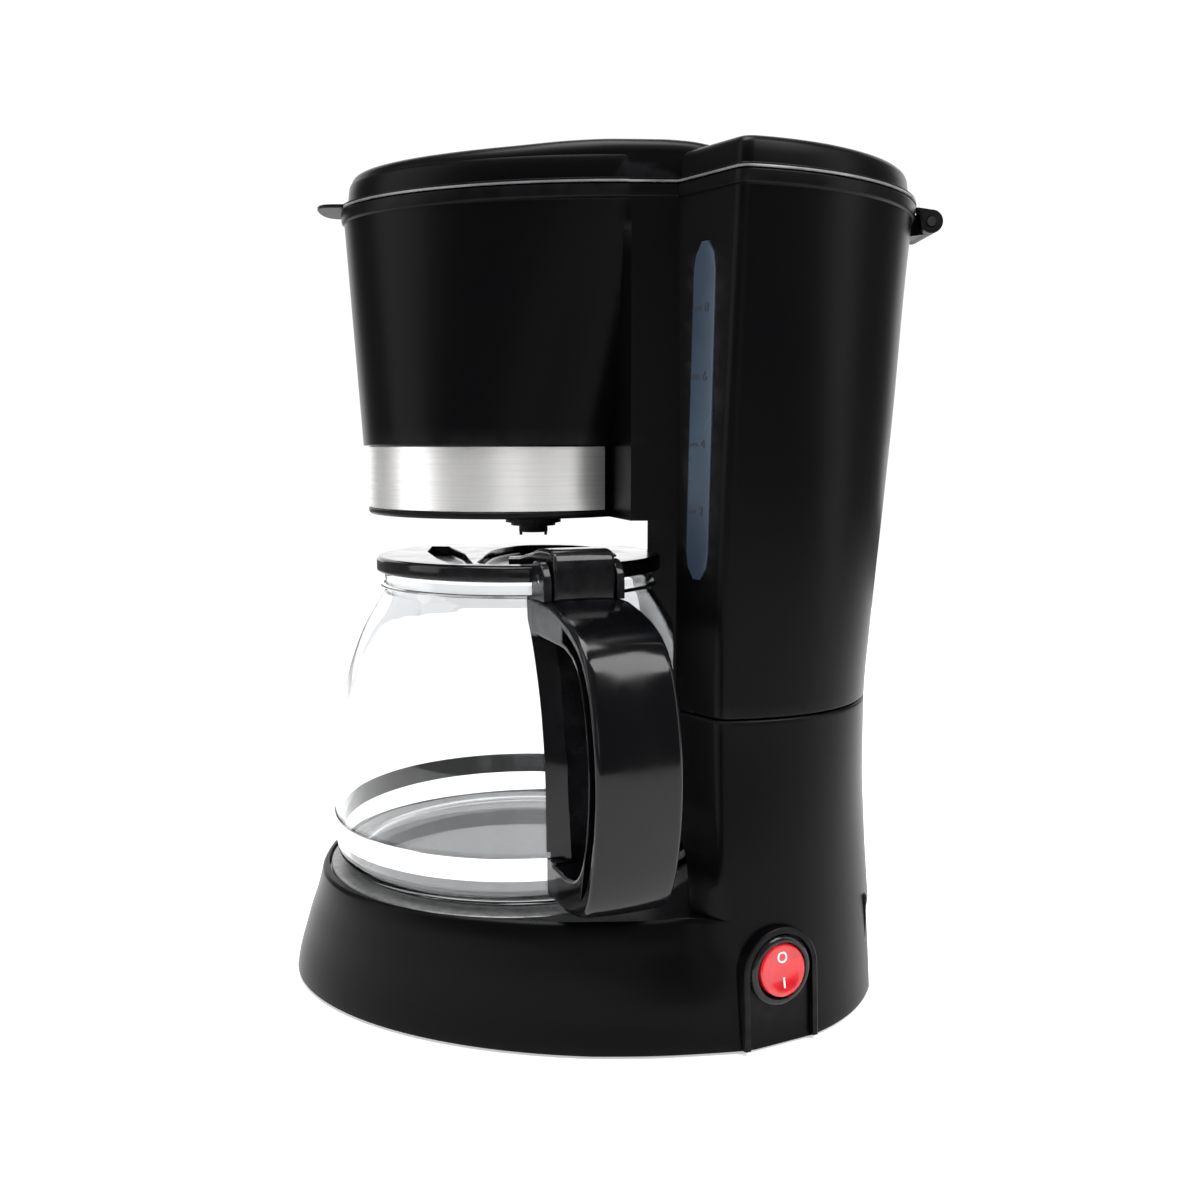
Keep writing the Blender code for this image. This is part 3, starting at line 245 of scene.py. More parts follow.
EVEN = (1, 1, 1)
BRUSHING = (3, (6, 6, 700), 6, 0.7)     # drawn out along the strip
SMEARS = (55, (1, 1, 4), 6, 0.6)
FINGERS = (70, (1, 1, 0.4), 6, 0.6)
SPOTS = (300, EVEN, 7, 0.65)
DRAWING = (220, (1, 1, 3), 6)
HAZE = (16, (1, 1, 0.8), 4)
DEPTH = (150, EVEN, 4)
CHIPS = (2400, EVEN, 5)
CLOUD = (60, EVEN, 5)
RUBBER = (1300, EVEN, 4)
FINISH = {
    "black_shell": finish(
        "black_shell_moulded", (0.0016, 0.0016, 0.002), 0.3, Specular_IOR_Level=0.07,
        wear=((0.0016, 0.0016, 0.002), (0.012, 0.012, 0.013)), gloss=((9, EVEN, 5), 0.27, 0.36),
        relief=[((16, EVEN, 2), 0.0003, 0.10), ((2600, EVEN, 2), 0.00002, 0.25)]),
    "black_gloss": finish(
        "black_gloss_moulded", (0.002, 0.002, 0.0025), 0.1, Specular_IOR_Level=0.25,
        wear=((0.002, 0.002, 0.0025), (0.02, 0.02, 0.022)), gloss=(FINGERS, 0.06, 0.2),
        relief=[((45, (1, 1, 0.45), 2), 0.0006, 0.28), ((1900, EVEN, 2), 0.00001, 0.2)]),
    "black_inner": finish(
        "black_inner_moulded", (0.007, 0.007, 0.008), 0.5, wear=((0.006, 0.006, 0.007), (0.02, 0.02, 0.022)),
        gloss=((40, EVEN, 5), 0.42, 0.62), relief=[((1700, EVEN, 3), 0.00004, 0.35)], Specular_IOR_Level=0.3),
    "brushed_steel": finish(
        "brushed_steel_band", (0.8, 0.79, 0.78), 0.36, 0.85,
        tint=(BRUSHING, (0.72, 0.715, 0.705), (0.92, 0.915, 0.905)), gloss=(BRUSHING, 0.42, 0.3),
        relief=[(BRUSHING, 0.00003, 0.35)]),
    "bright_steel": finish(
        "bright_steel_polished", (0.7, 0.7, 0.69), 0.16, 1.0,
        tint=(SMEARS, (0.66, 0.66, 0.65), (0.8, 0.8, 0.79)), gloss=(SMEARS, 0.1, 0.22),
        relief=[((4, (3, 3, 900), 4), 0.00001, 0.25)]),
    "plate_grey": finish(
        "plate_coating", (0.2, 0.2, 0.2), 0.34, 0.6, tint=(SPOTS, (0.13, 0.13, 0.13), (0.27, 0.27, 0.265)),
        gloss=((30, EVEN, 5), 0.26, 0.45), relief=[(SPOTS, 0.00004, 0.3)]),
    "aluminium": finish(
        "aluminium_drawn", (0.6, 0.6, 0.61), 0.4, 1.0, tint=(DRAWING, (0.5, 0.5, 0.51), (0.68, 0.68, 0.69)),
        gloss=(DRAWING, 0.34, 0.52), relief=[(DRAWING, 0.00005, 0.3)]),
    "clear_glass": finish(
        "clear_glass_blown", (0.865, 0.875, 0.885), 0.0, gloss=((25, EVEN, 4), 0.0, 0.012),
        relief=[((14, (1, 1, 0.7), 1), 0.0009, 0.12)], Transmission_Weight=1.0, IOR=1.47),
    "gauge_clear": finish(
        "gauge_translucent", (0.032, 0.048, 0.07), 0.22, Specular_IOR_Level=0.3,
        tint=(HAZE, (0.014, 0.023, 0.038), (0.042, 0.064, 0.092)), gloss=(HAZE, 0.18, 0.3),
        relief=[((500, EVEN, 3), 0.00002, 0.25)]),
    "red_lens": finish(
        "red_lens_moulded", (0.55, 0.008, 0.015), 0.16, Coat_Weight=0.3,
        tint=(DEPTH, (0.42, 0.004, 0.01), (0.68, 0.012, 0.02)), gloss=(DEPTH, 0.12, 0.24),
        relief=[((900, EVEN, 3), 0.00002, 0.3)]),
    "silicone": finish(
        "silicone_moulded", (0.7, 0.69, 0.66), 0.45, tint=(CLOUD, (0.6, 0.58, 0.54), (0.76, 0.75, 0.72)),
        gloss=(CLOUD, 0.38, 0.55), relief=[((900, EVEN, 3), 0.00003, 0.3)], Subsurface_Weight=0.15),
    "dark_rubber": finish(
        "dark_rubber_moulded", (0.014, 0.014, 0.014), 0.6,
        tint=((90, EVEN, 5), (0.01, 0.01, 0.01), (0.024, 0.024, 0.023)), gloss=(RUBBER, 0.5, 0.75),
        relief=[(RUBBER, 0.00006, 0.4)]),
}
# Painted highlight: a grey line round the lid's parting edge that stands in for the light the rim's bead
# catches
LID_HIGHLIGHT_PAINT = finish("lid_painted_highlight", (0.13, 0.13, 0.135), 0.35, gloss=((200, EVEN, 3), 0.28, 0.45),
                   tint=(CLOUD, (0.07, 0.07, 0.073), (0.24, 0.24, 0.25)))
# Painted shade: the inner side of the jug's steel band is painted near-black for the dark that the back of
# the band shows through the glass; the hinge pin gets the same near-black paint
STEEL_PAINTED_SHADE = finish("steel_painted_shade", (0.02, 0.02, 0.021), 0.5, 0.6, gloss=((300, EVEN, 3), 0.4, 0.6),
                   tint=((80, (1, 1, 0.2), 4), (0.012, 0.012, 0.013), (0.035, 0.035, 0.037)))
MARK_PAINT = finish("mark_paint", (0.8, 0.8, 0.8), 0.5, tint=(CHIPS, (0.7, 0.66, 0.66), (0.88, 0.87, 0.86)),
                    relief=[(CHIPS, 0.00003, 0.3)])
GAUGE_INK = finish("gauge_ink", (0.006, 0.008, 0.012), 0.5, relief=[(CHIPS, 0.00002, 0.3)],
                   tint=(CHIPS, (0.004, 0.005, 0.008), (0.012, 0.015, 0.022)))


# ------------------------ meshes

def linked(name, data):
    """New object in the scene."""
    obj = bpy.data.objects.new(name, data)
    bpy.context.scene.collection.objects.link(obj)
    return obj


def linked_mesh(name, bm):
    mesh = bpy.data.meshes.new(name)
    bm.to_mesh(mesh)
    bm.free()
    return linked(name, mesh)


def final_mesh(obj):
    """Copy of the object's mesh with its modifiers applied."""
    return bpy.data.meshes.new_from_object(obj.evaluated_get(bpy.context.evaluated_depsgraph_get()))


def make_object(name, bm):
    """Object from a bmesh in the jug's frame, moved to its place in the row's frame."""
    bmesh.ops.remove_doubles(bm, verts=bm.verts, dist=MERGE_MM)
    bmesh.ops.recalc_face_normals(bm, faces=bm.faces)
    bmesh.ops.translate(bm, verts=bm.verts, vec=(AXIS_X, AXIS_Y, 0))
    bmesh.ops.scale(bm, verts=bm.verts, vec=(MM, MM, MM))
    return linked_mesh(name, bm)


def carve(obj, steps):
    """Run Booleans in order, as (operation, bmesh or object), and keep only the resulting mesh."""
    helpers = []
    for operation, tool in steps:
        helper = tool if isinstance(tool, bpy.types.Object) else make_object("helper", tool)
        modifier = obj.modifiers.new("step", "BOOLEAN")
        modifier.operation = operation
        modifier.object = helper
        helpers.append(helper)
    weld = obj.modifiers.new("weld", "WELD")
    weld.merge_threshold = WELD_M
    mesh = final_mesh(obj)
    obj.modifiers.clear()
    obj.data = mesh
    for helper in helpers:
        bpy.data.objects.remove(helper, do_unlink=True)
    return obj


def finish_piece(obj, slot, body, nodes=(), material=None, smooth_deg=SHARP_DEG):
    obj.data.materials.clear()
    obj.data.materials.append(material or FINISH[slot])
    obj.data.shade_smooth()
    obj.data.set_sharp_from_angle(angle=math.radians(smooth_deg))
    weighted = obj.modifiers.new("weighted", "WEIGHTED_NORMAL")
    weighted.keep_sharp = True
    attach(obj, body)
    if nodes:
        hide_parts(*nodes)
    return obj


def make_piece(name, bm, slot, body, nodes=(), steps=(), material=None, smooth_deg=SHARP_DEG):
    obj = make_object(name, bm)
    if steps:
        carve(obj, steps)
    return finish_piece(obj, slot, body, nodes, material, smooth_deg)


def smooth_at(z, knots):
    """Value at z on a monotone cubic through (z, value) knots."""
    if z <= knots[0][0]:
        return knots[0][1]
    if z >= knots[-1][0]:
        return knots[-1][1]
    slopes = [(b[1] - a[1]) / (b[0] - a[0]) for a, b in zip(knots, knots[1:])]

    def tangent(i):
        if i == 0:
            return slopes[0]
        if i == len(slopes):
            return slopes[-1]
        if slopes[i - 1] * slopes[i] <= 0:
            return 0.0
        return 2 * slopes[i - 1] * slopes[i] / (slopes[i - 1] + slopes[i])

    for i, ((z0, v0), (z1, v1)) in enumerate(zip(knots, knots[1:])):
        if z <= z1:
            span = z1 - z0
            t = (z - z0) / span
            return (v0 * (1 + 2 * t) * (1 - t) ** 2 + v1 * t * t * (3 - 2 * t)
                    + span * (tangent(i) * t * (1 - t) ** 2 - tangent(i + 1) * t * t * (1 - t)))


def span(low, high, step):
    """Even values from low to high, both included, about step apart."""
    count = max(1, round((high - low) / step))
    return [low + (high - low) * i / count for i in range(count + 1)]


def superellipse(a, b, n, centre_y, start_deg, end_deg, steps):
    points = []
    for i in range(steps + 1):
        t = math.radians(start_deg + (end_deg - start_deg) * i / steps)
        c = max(math.cos(t), 0.0)
        s = math.sin(t)
        points.append((a * c ** (2 / n), centre_y + b * math.copysign(abs(s) ** (2 / n), s)))
    return points


def soft_corner(before, corner, after, cutback, steps):
    corner = Vector(corner)
    start = corner + (Vector(before) - corner).normalized() * cutback
    end = corner + (Vector(after) - corner).normalized() * cutback
    points = []
    for i in range(steps + 1):
        t = i / steps
        points.append(tuple(start * (1 - t) ** 2 + corner * 2 * t * (1 - t) + end * t * t))
    return points


def mirrored(half):
    return half + [(-x, y) for x, y in reversed(half) if x > 1e-6]


def side_wall(z, out, corner):
    """Side and rear wall from its front corner over the ridge to the rear middle."""
    a = smooth_at(z, BODY_HALF_WIDTH) + out
    b = smooth_at(z, BODY_REAR_Y) - BODY_CENTRE_Y + out
    n = smooth_at(z, BODY_ROUNDNESS)
    lift = (smooth_at(z, RIDGE_Y) - BODY_CENTRE_Y - out * 0.3) / b
    start = math.degrees(math.asin(lift ** (n / 2)))
    arc = superellipse(a, b, n, BODY_CENTRE_Y, start, 90, 30)
    ridge = soft_corner(corner, arc[0], arc[2], 3.6, 6)
    return [corner] + ridge + arc[2:]


def upper_corner(out):
    return (CORNER_X + out, CORNER_Y - out * 0.4)


def body_half(z, out=0.0, front=SIDE_FRONT_Y):
    return [(0.0, front), (CORNER_X + out, front)] + side_wall(z, out, upper_corner(out))


def head_arc(z, out):
    t = max(0.0, (z - HEAD_Z) / (RIM_Z - HEAD_Z))
    steps = 40
    top = superellipse(HEAD_TOP_HALF_WIDTH + out, HEAD_TOP_LENGTH + out, HEAD_TOP_ROUNDNESS,
                       SIDE_FRONT_Y, -90, 0, steps)
    points = []
    for i, (x, y) in enumerate(top):
        angle = math.radians(-90 + HEAD_WRAP_DEG * i / steps)
        low_x = (HEAD_BOTTOM_R + out) * math.cos(angle)
        low_y = HEAD_BOTTOM_Y + (HEAD_BOTTOM_R + out) * math.sin(angle)
        points.append((low_x + (x - low_x) * t, low_y + (y - low_y) * t))
    points[0] = (0.0, points[0][1])
    return points


def head_half(z, out, rear):
    points = head_arc(z, out)
    return points + [(points[-1][0], rear), (0.0, rear)]


def full_half(z, out, front_out=None):
    """Head and tank together."""
    if front_out is None:
        front_out = out
    side = (CORNER_X + out, SIDE_FRONT_Y + 2.0)
    return head_arc(z, front_out) + [side] + side_wall(z, out, upper_corner(out))


def base_half(z, out, shrink=1.0, lip=0.0):
    """Lower housing: bell in front, side wall behind."""
    a = smooth_at(z, BELL_HALF_WIDTH) + out - lip
    reach = BELL_CENTRE_Y - smooth_at(z, BELL_FRONT_Y) + out - lip
    n = smooth_at(z, BELL_ROUNDNESS)
    front = superellipse(a, reach, n, BELL_CENTRE_Y, -90, 0, 44)
    front = [(x * shrink, y * shrink) for x, y in front]
    end_x, end_y = front[-1]
    corner = (smooth_at(z, CREASE_X) + out, smooth_at(z, CREASE_Y) - out * 0.4)
    turn = []
    for i in range(1, 6):
        u = math.radians(15 * i)
        turn.append((end_x - (end_x - corner[0]) * (1 - math.cos(u)),
                     end_y + (corner[1] - end_y) * math.sin(u)))
    outline = front + turn + side_wall(z, out, corner)
    rounds = round(smooth_at(z, CREASE_ROUNDS))
    return relaxed(outline, len(front) - 4, len(front) + 12, rounds)


def relaxed(outline, first, last, rounds):
    """Outline with the points from first to last evened out, which turns a crease into a soft hollow."""
    for _ in range(rounds):
        fresh = list(outline)
        for i in range(first, last):
            fresh[i] = tuple((outline[i - 1][k] + 2 * outline[i][k] + outline[i + 1][k]) / 4 for k in (0, 1))
        outline = fresh
    return outline


def bridge(bm, rings, closed=False):
    """Add rings of points with quads between them; closed also joins the last ring to the first."""
    loops = [[bm.verts.new(point) for point in ring] for ring in rings]
    count = len(loops[0])
    for low, high in zip(loops, loops[1:] + loops[:1] if closed else loops[1:]):
        for i in range(count):
            j = (i + 1) % count
            bm.faces.new((low[i], low[j], high[j], high[i]))
    return loops


def loft(rings):
    """Solid through the rings, capped at both ends."""
    bm = bmesh.new()
    loops = bridge(bm, rings)
    bm.faces.new(list(reversed(loops[0])))
    bm.faces.new(loops[-1])
    return bm


def stacked(sections):
    """Solid through level outlines, as (z, outline)."""
    return loft([[(x, y, z) for x, y in outline] for z, outline in sections])


def turned(profile, steps=96, centre=(0.0, 0.0)):
    """Solid of an (r, z) profile turned about an upright axis; it may start and end on the axis."""
    bm = bmesh.new()
    rings = []
    for r, z in profile:
        if r < 1e-6:
            rings.append([bm.verts.new((centre[0], centre[1], z))] * steps)
            continue
        ring = []
        for i in range(steps):
            angle = math.tau * i / steps
            ring.append(bm.verts.new((centre[0] + r * math.cos(angle), centre[1] + r * math.sin(angle), z)))
        rings.append(ring)
    pairs = list(zip(rings, rings[1:]))
    if profile[0][0] > 1e-6:
        pairs.append((rings[-1], rings[0]))
    for low, high in pairs:
        for i in range(steps):
            j = (i + 1) % steps
            corners = []
            for vert in (low[i], low[j], high[j], high[i]):
                if vert not in corners:
                    corners.append(vert)
            if len(corners) > 2:
                bm.faces.new(corners)
    return bm


def cylinder(r, low_z, high_z, steps=48, centre=(0.0, 0.0)):
    return turned([(0, low_z), (r, low_z), (r, high_z), (0, high_z)], steps, centre)


def block(low, high):
    bm = bmesh.new()
    bmesh.ops.create_cube(bm, size=1.0)
    bmesh.ops.scale(bm, verts=bm.verts, vec=Vector(high) - Vector(low))
    bmesh.ops.translate(bm, verts=bm.verts, vec=(Vector(low) + Vector(high)) / 2)
    return bm


def placed(bm, matrix):
    bmesh.ops.transform(bm, matrix=matrix, verts=bm.verts)
    return bm


def along_x(bm, y, z):
    return placed(bm, Matrix.Translation((0, y, z)) @ Matrix.Rotation(math.pi / 2, 4, "Y"))


def curve_through(points, steps=4, closed=False):
    """Catmull-Rom points through 2D points."""
    nodes = [Vector(p) for p in points]
    if closed:
        nodes = [nodes[-1]] + nodes + nodes[:2]
    else:
        nodes = [nodes[0] * 2 - nodes[1]] + nodes + [nodes[-1] * 2 - nodes[-2]]
    path = []
    for p0, p1, p2, p3 in zip(nodes, nodes[1:], nodes[2:], nodes[3:]):
        for i in range(steps):
            t = i / steps
            path.append(0.5 * (2 * p1 + (p2 - p0) * t + (2 * p0 - 5 * p1 + 4 * p2 - p3) * t ** 2
                               + (3 * p1 - p0 - 3 * p2 + p3) * t ** 3))
    if not closed:
        path.append(nodes[-2])
    return [tuple(p) for p in path]


def grown(outline, amount):
    """Closed counter-clockwise outline moved outward by amount."""
    count = len(outline)
    points = []
    for i in range(count):
        before, here, after = (Vector(outline[(i + k) % count]) for k in (-1, 0, 1))
        first = (here - before).normalized()
        second = (after - here).normalized()
        normal = Vector((first.y + second.y, -first.x - second.x))
        if normal.length < 1e-6:
            normal = Vector((first.y, -first.x))
        normal.normalize()
        reach = amount / max(0.5, normal.dot(Vector((first.y, -first.x))))
        points.append(tuple(here + normal * reach))
    return points


def rounded_levels(half, radius, steps=4):
    """(position, inset) pairs from -half to half with both ends rounded."""
    ends = []
    for i in range(steps + 1):
        t = math.radians(90 * i / steps)
        ends.append((half - radius + radius * math.sin(t), radius * (1 - math.cos(t))))
    return [(-y, inset) for y, inset in reversed(ends)] + ends


def plate_across(outline, half, radius=0.0, crown=0.0):
    """Slab of an (r, z) outline across the handle's plane, its rims rounded and its face crowned."""
    levels = rounded_levels(half, radius) if radius else [(-half, 0.0), (half, 0.0)]
    if crown:
        levels += [(y, 0.0) for y in span(-half + radius + 1.0, half - radius - 1.0, 3.0)]
        levels.sort()
    rings = []
    for y, inset in levels:
        ring = grown(outline, -inset - crown * (y / half) ** 2)
        rings.append([(r, y, z) for r, z in ring])
    return placed(loft(rings), HANDLE_TURN)


def slot_across(outline, half, flare):
    """Cutter for an opening through the handle, flared so that its rims come out rounded."""
    levels = [(-half - 2.0, flare + 2.0)] + rounded_levels(half, flare) + [(half + 2.0, flare + 2.0)]
    rings = [[(r, y, z) for r, z in grown(outline, amount)] for y, amount in levels]
    return placed(loft(rings), HANDLE_TURN)


# ------------------------ housings

HINGE_SEGMENTS = 30
GAUGE_LOW_Z = 160.6
GAUGE_HIGH_Z = 272.0
GAUGE_HALF = 5.4
GAUGE_SHARE = 0.52          # of the way from the column's corner to the ridge
GAUGE_END = [(0, 0.3), (2, 0.62), (4, 0.82), (7, 0.96), (10, 1.0)]      # width by distance from the tip
GAUGE_TICKS_Z = (183.6, 206.0, 228.3, 250.7)
TICK = [(-4.6, -0.35), (-0.8, -0.45), (-0.8, 0.45), (-4.6, 0.35)]
NUMERAL_SIZE = 4.4
BAND_END_Y = 33.5
BAND_BEVEL = 0.18
BAND_PROUD = 0.9
BAND_EDGE_PROUD = 0.75
GROOVE_PLAY = 0.2
GUARD_FOOT_Z = 60
BAY_LEDGE_Z = 282.7
OUTLET_R = 11.4
TANK_PORT_R = 4.9
BASE_PORT_R = 6.0
PLATE_SEAT_R = 76.2
PLATE_SEAT_Z = 40.3
PLATE_HOLE_R = 70.0
SWITCH_HOLE_R = 10.9
GLAND_HOLE_R = 5.2
BACK_SHRINK = 0.7           # pulls the bell's front inside the jug's hollow, which cuts it away


def stack_of(half, levels):
    """Solid through mirrored half outlines; a level holds the arguments of half, height first."""
    return stacked([(level[0], mirrored(half(*level))) for level in levels])


def column_guard(grow, low_z):
    """Solid that fills the jug's hollow in the column."""
    heights = [z for z in span(DECK_Z, 90, 3.0) if z > low_z + 0.1]
    profile = [(0, low_z), (smooth_at(low_z, RECESS) + grow, low_z)]
    profile += [(smooth_at(z, RECESS) + grow, z) for z in heights]
    top = HEAD_Z + grow * 1.2
    return turned(profile + [(RECESS_R + grow, top), (0, top)], 128)


def cavity(name, bm, low_z):
    """Cutter for a hollow that leaves a wall round the jug's hollow above low_z."""
    return carve(make_object(name, bm), [(CUT, column_guard(WALL, low_z))])


def gauge_frame(z):
    """Middle of the gauge's face at height z, and its level direction and outward normal."""
    ridge = Vector(body_half(z)[3])
    corner = Vector((CORNER_X, CORNER_Y))
    run = (ridge - corner).normalized()
    return corner.lerp(ridge, GAUGE_SHARE), run, Vector((run.y, -run.x))


def gauge_solid(grow, inner, outer, soft=0.0):
    """Upright strip set in the flank between corner and ridge, with pointed ends."""
    low_z, high_z = GAUGE_LOW_Z - grow, GAUGE_HIGH_Z + grow
    half = GAUGE_HALF + grow
    heights = [low_z, low_z + 4, low_z + 9] + span(low_z + 16, high_z - 16, 12)
    heights += [high_z - 9, high_z - 4, high_z]
    across = [(-half, inner), (half, inner), (half, outer - soft), (half - soft * 2, outer - soft * 0.2),
              (0, outer), (-half + soft * 2, outer - soft * 0.2), (-half, outer - soft)]
    rings = []
    for z in heights:
        width = smooth_at(min(z - low_z, high_z - z), GAUGE_END)
        middle, run, facing = gauge_frame(z)
        points = [middle + run * u * width + facing * depth for u, depth in across]
        rings.append([(p.x, p.y, z) for p in points])
    return loft(rings)


def barrel_arc(start_deg, sweep_deg):
    """(y, z) points round the lid hinge's axis."""
    points = []
    for i in range(HINGE_SEGMENTS + 1):
        angle = math.radians(start_deg + sweep_deg * i / HINGE_SEGMENTS)
        points.append((HINGE_Y + BARREL_R * math.cos(angle), HINGE_Z + BARREL_R * math.sin(angle)))
    return points


def slab_x(outline, low_x, high_x):
    """Solid of a (y, z) outline between two X."""
    return loft([[(x, y, z) for y, z in outline] for x in (low_x, high_x)])


def hinge_ear():
    """The housing's one knuckle, with a web to its rear wall."""
    wall_y = HINGE_Y - 12.5
    top = RIM_Z - 0.4
    outline = [(wall_y, HINGE_Z - 5.6)] + barrel_arc(-110, 230) + [(HINGE_Y - 5.5, top), (wall_y, top)]
    return slab_x(outline, -KNUCKLE_HALF, KNUCKLE_HALF)


def hinge_bore():
    return along_x(cylinder(LID_PIN_R + GAP, -40, 40, 32), HINGE_Y, HINGE_Z)


def port_holes(r, low_z, high_z):
    """Cuts for the two water ports behind the column."""
    return [(CUT, cylinder(r, low_z, high_z, 32, (x, PORT_Y))) for x in (-PORT_X, PORT_X)]


def build_upper_housing():
    low_groove = BAND_BOTTOM_Z - GROOVE_PLAY
    high_groove = BAND_TOP_Z + GROOVE_PLAY
    levels = [(SEAM_Z + 0.6, -0.6, 0), (SEAM_Z + 0.9, -0.2, 0), (SEAM_Z + 1.4, 0, 0)]
    levels += [(z, 0, 0) for z in span(SEAM_Z + 6, HEAD_Z - 4, 7)]
    levels += [(HEAD_Z, 0, -0.9), (HEAD_Z + 0.25, 0, -0.42), (HEAD_Z + 0.7, 0, -0.1), (HEAD_Z + 1.2, 0, 0),
               (low_groove - 0.3, 0, 0), (low_groove, 0, -0.3), (low_groove, 0, -GROOVE_DEPTH_BOTTOM)]
    levels += [(high_groove, 0, -GROOVE_DEPTH_TOP), (high_groove, 0, -0.35), (high_groove + 0.35, 0, 0)]
    levels += [(z, 0, 0) for z in span(high_groove + 6, BEAD_Z - 3, 7)]
    levels += [(BEAD_Z + rise, out, out) for rise, out in (
        (-0.3, 0), (0.1, 0.1), (0.4, 0.5), (0.7, 0.85), (1.2, 1.0))]
    levels += [(RIM_Z - drop, out, out) for drop, out in ((0.7, 1.0), (0.2, 0.8), (0, 0.4))]

    tank = [(z, -WALL, TANK_FRONT_Y) for z in [TANK_FLOOR_Z] + span(140, 300, 20)]
    skirt = [(z, -WALL, TANK_FRONT_Y) for z in (100, TANK_FLOOR_Z - 3.0)]
    bay = [(HEAD_Z + 2.7, -5, BAY_REAR_Y - 0.6), (BAY_LEDGE_Z, -5, BAY_REAR_Y - 0.6),
           (BAY_LEDGE_Z, -2.6, BAY_REAR_Y), (300, -2.6, BAY_REAR_Y)]
    steps = [(CUT, cylinder(RECESS_R, 80, HEAD_Z, 128)),
             (CUT, cavity("tank", stack_of(body_half, tank), GUARD_FOOT_Z)),
             (CUT, stack_of(head_half, bay)),
             (CUT, block((-8, 50, 285.5), (PORT_X + 6, 60, 300))),
             (CUT, cylinder(OUTLET_R, 170, 190, 64, (0, OUTLET_Y))),
             (CUT, cavity("skirt", stack_of(body_half, skirt), GUARD_FOOT_Z))]
    steps += port_holes(TANK_PORT_R, 110, 140)
    steps += [(CUT, gauge_solid(GAP, -6.0, 4.0)), (JOIN, hinge_ear()), (CUT, hinge_bore())]
    make_piece("upper_shell", stack_of(full_half, levels), "black_shell", "machine", ["upper_housing"], steps)


def build_trim_band():
    """Strip round the head, open at the column, with bevelled edges."""
    low, high = (BAND_BOTTOM_Z, GROOVE_DEPTH_BOTTOM), (BAND_TOP_Z, GROOVE_DEPTH_TOP)
    rings = []
    for (z, depth), shift, proud in ((low, 0.0, BAND_EDGE_PROUD), (low, BAND_BEVEL, BAND_PROUD),
                                     (high, -BAND_BEVEL, BAND_PROUD), (high, 0.0, BAND_EDGE_PROUD)):
        outer = [point for point in head_arc(z, proud - depth) if point[1] < BAND_END_Y]
        inner = head_arc(z, GAP - depth)[:len(outer)]
        outer, inner = ([(-x, y) for x, y in reversed(half)][:-1] + half for half in (outer, inner))
        rings.append([(x, y, z + shift) for x, y in outer + inner[::-1]])
    make_piece("steel_band", loft(rings), "brushed_steel", "machine", ["trim_band"])


def build_gauge():
    make_piece("gauge_window", gauge_solid(0.0, -WALL, 0.7, 0.3), "gauge_clear", "machine", ["water_gauge"])
    for number, z in enumerate(GAUGE_TICKS_Z, 1):
        middle, run, facing = gauge_frame(z)
        rings = []
        for depth in (0.3, 0.78):
            points = [(middle + run * u + facing * depth, z + height) for u, height in TICK]
            rings.append([(p.x, p.y, level) for p, level in points])
        make_piece(f"gauge_tick_{number}", loft(rings), "gauge_clear", "machine", material=GAUGE_INK)
        numeral(f"gauge_numeral_{number}", str(2 * number), z)


def axes_matrix(axes, place):
    """Matrix with those X, Y and Z axes, moved to place."""
    matrix = Matrix.Identity(4)
    for column, axis in enumerate(axes):
        for row in range(3):
            matrix[row][column] = axis[row]
    matrix.translation = Vector(place)
    return matrix


def numeral(name, text, z):
    """Raised figure beside a tick of the gauge."""
    curve = bpy.data.curves.new("numeral", "FONT")
    curve.body = text
    curve.size = NUMERAL_SIZE
    curve.align_x = "CENTER"
    curve.align_y = "CENTER"
    curve.extrude = 0.22
    obj = linked("numeral", curve)
    mesh = final_mesh(obj)
    bpy.data.objects.remove(obj, do_unlink=True)
    bm = bmesh.new()
    bm.from_mesh(mesh)
    bpy.data.meshes.remove(mesh)
    middle, run, facing = gauge_frame(z)
    centre = middle + run * 1.9 + facing * 0.56
    matrix = axes_matrix([(run.x, run.y, 0), (0, 0, 1), (facing.x, facing.y, 0)], (centre.x, centre.y, z))
    make_piece(name, placed(bm, matrix), "gauge_clear", "machine", material=GAUGE_INK)


def in_switch(bm):
    """Placed in the switch's frame: local Z is outward, local X is level, local Y is up."""
    lean = math.radians(SWITCH_LEAN_DEG)
    turn = math.radians(SWITCH_TURN_DEG)
    outward = Vector((math.cos(turn) * math.cos(lean), math.sin(turn) * math.cos(lean), math.sin(lean)))
    level = Vector((-math.sin(turn), math.cos(turn), 0.0))
    return placed(bm, axes_matrix([level, outward.cross(level), outward], SWITCH))


def switch_arch(levels, drop=25.6):
    """Arch-shaped block round the switch, through (normal, half width) levels."""
    rings = []
    for n, half in levels:
        ring = [(-half, -drop, n)]
        for i in range(41):
            angle = math.pi - math.pi * i / 40
            ring.append((half * math.cos(angle), half * math.sin(angle), n))
        rings.append(ring + [(half, -drop, n)])
    return in_switch(loft(rings))


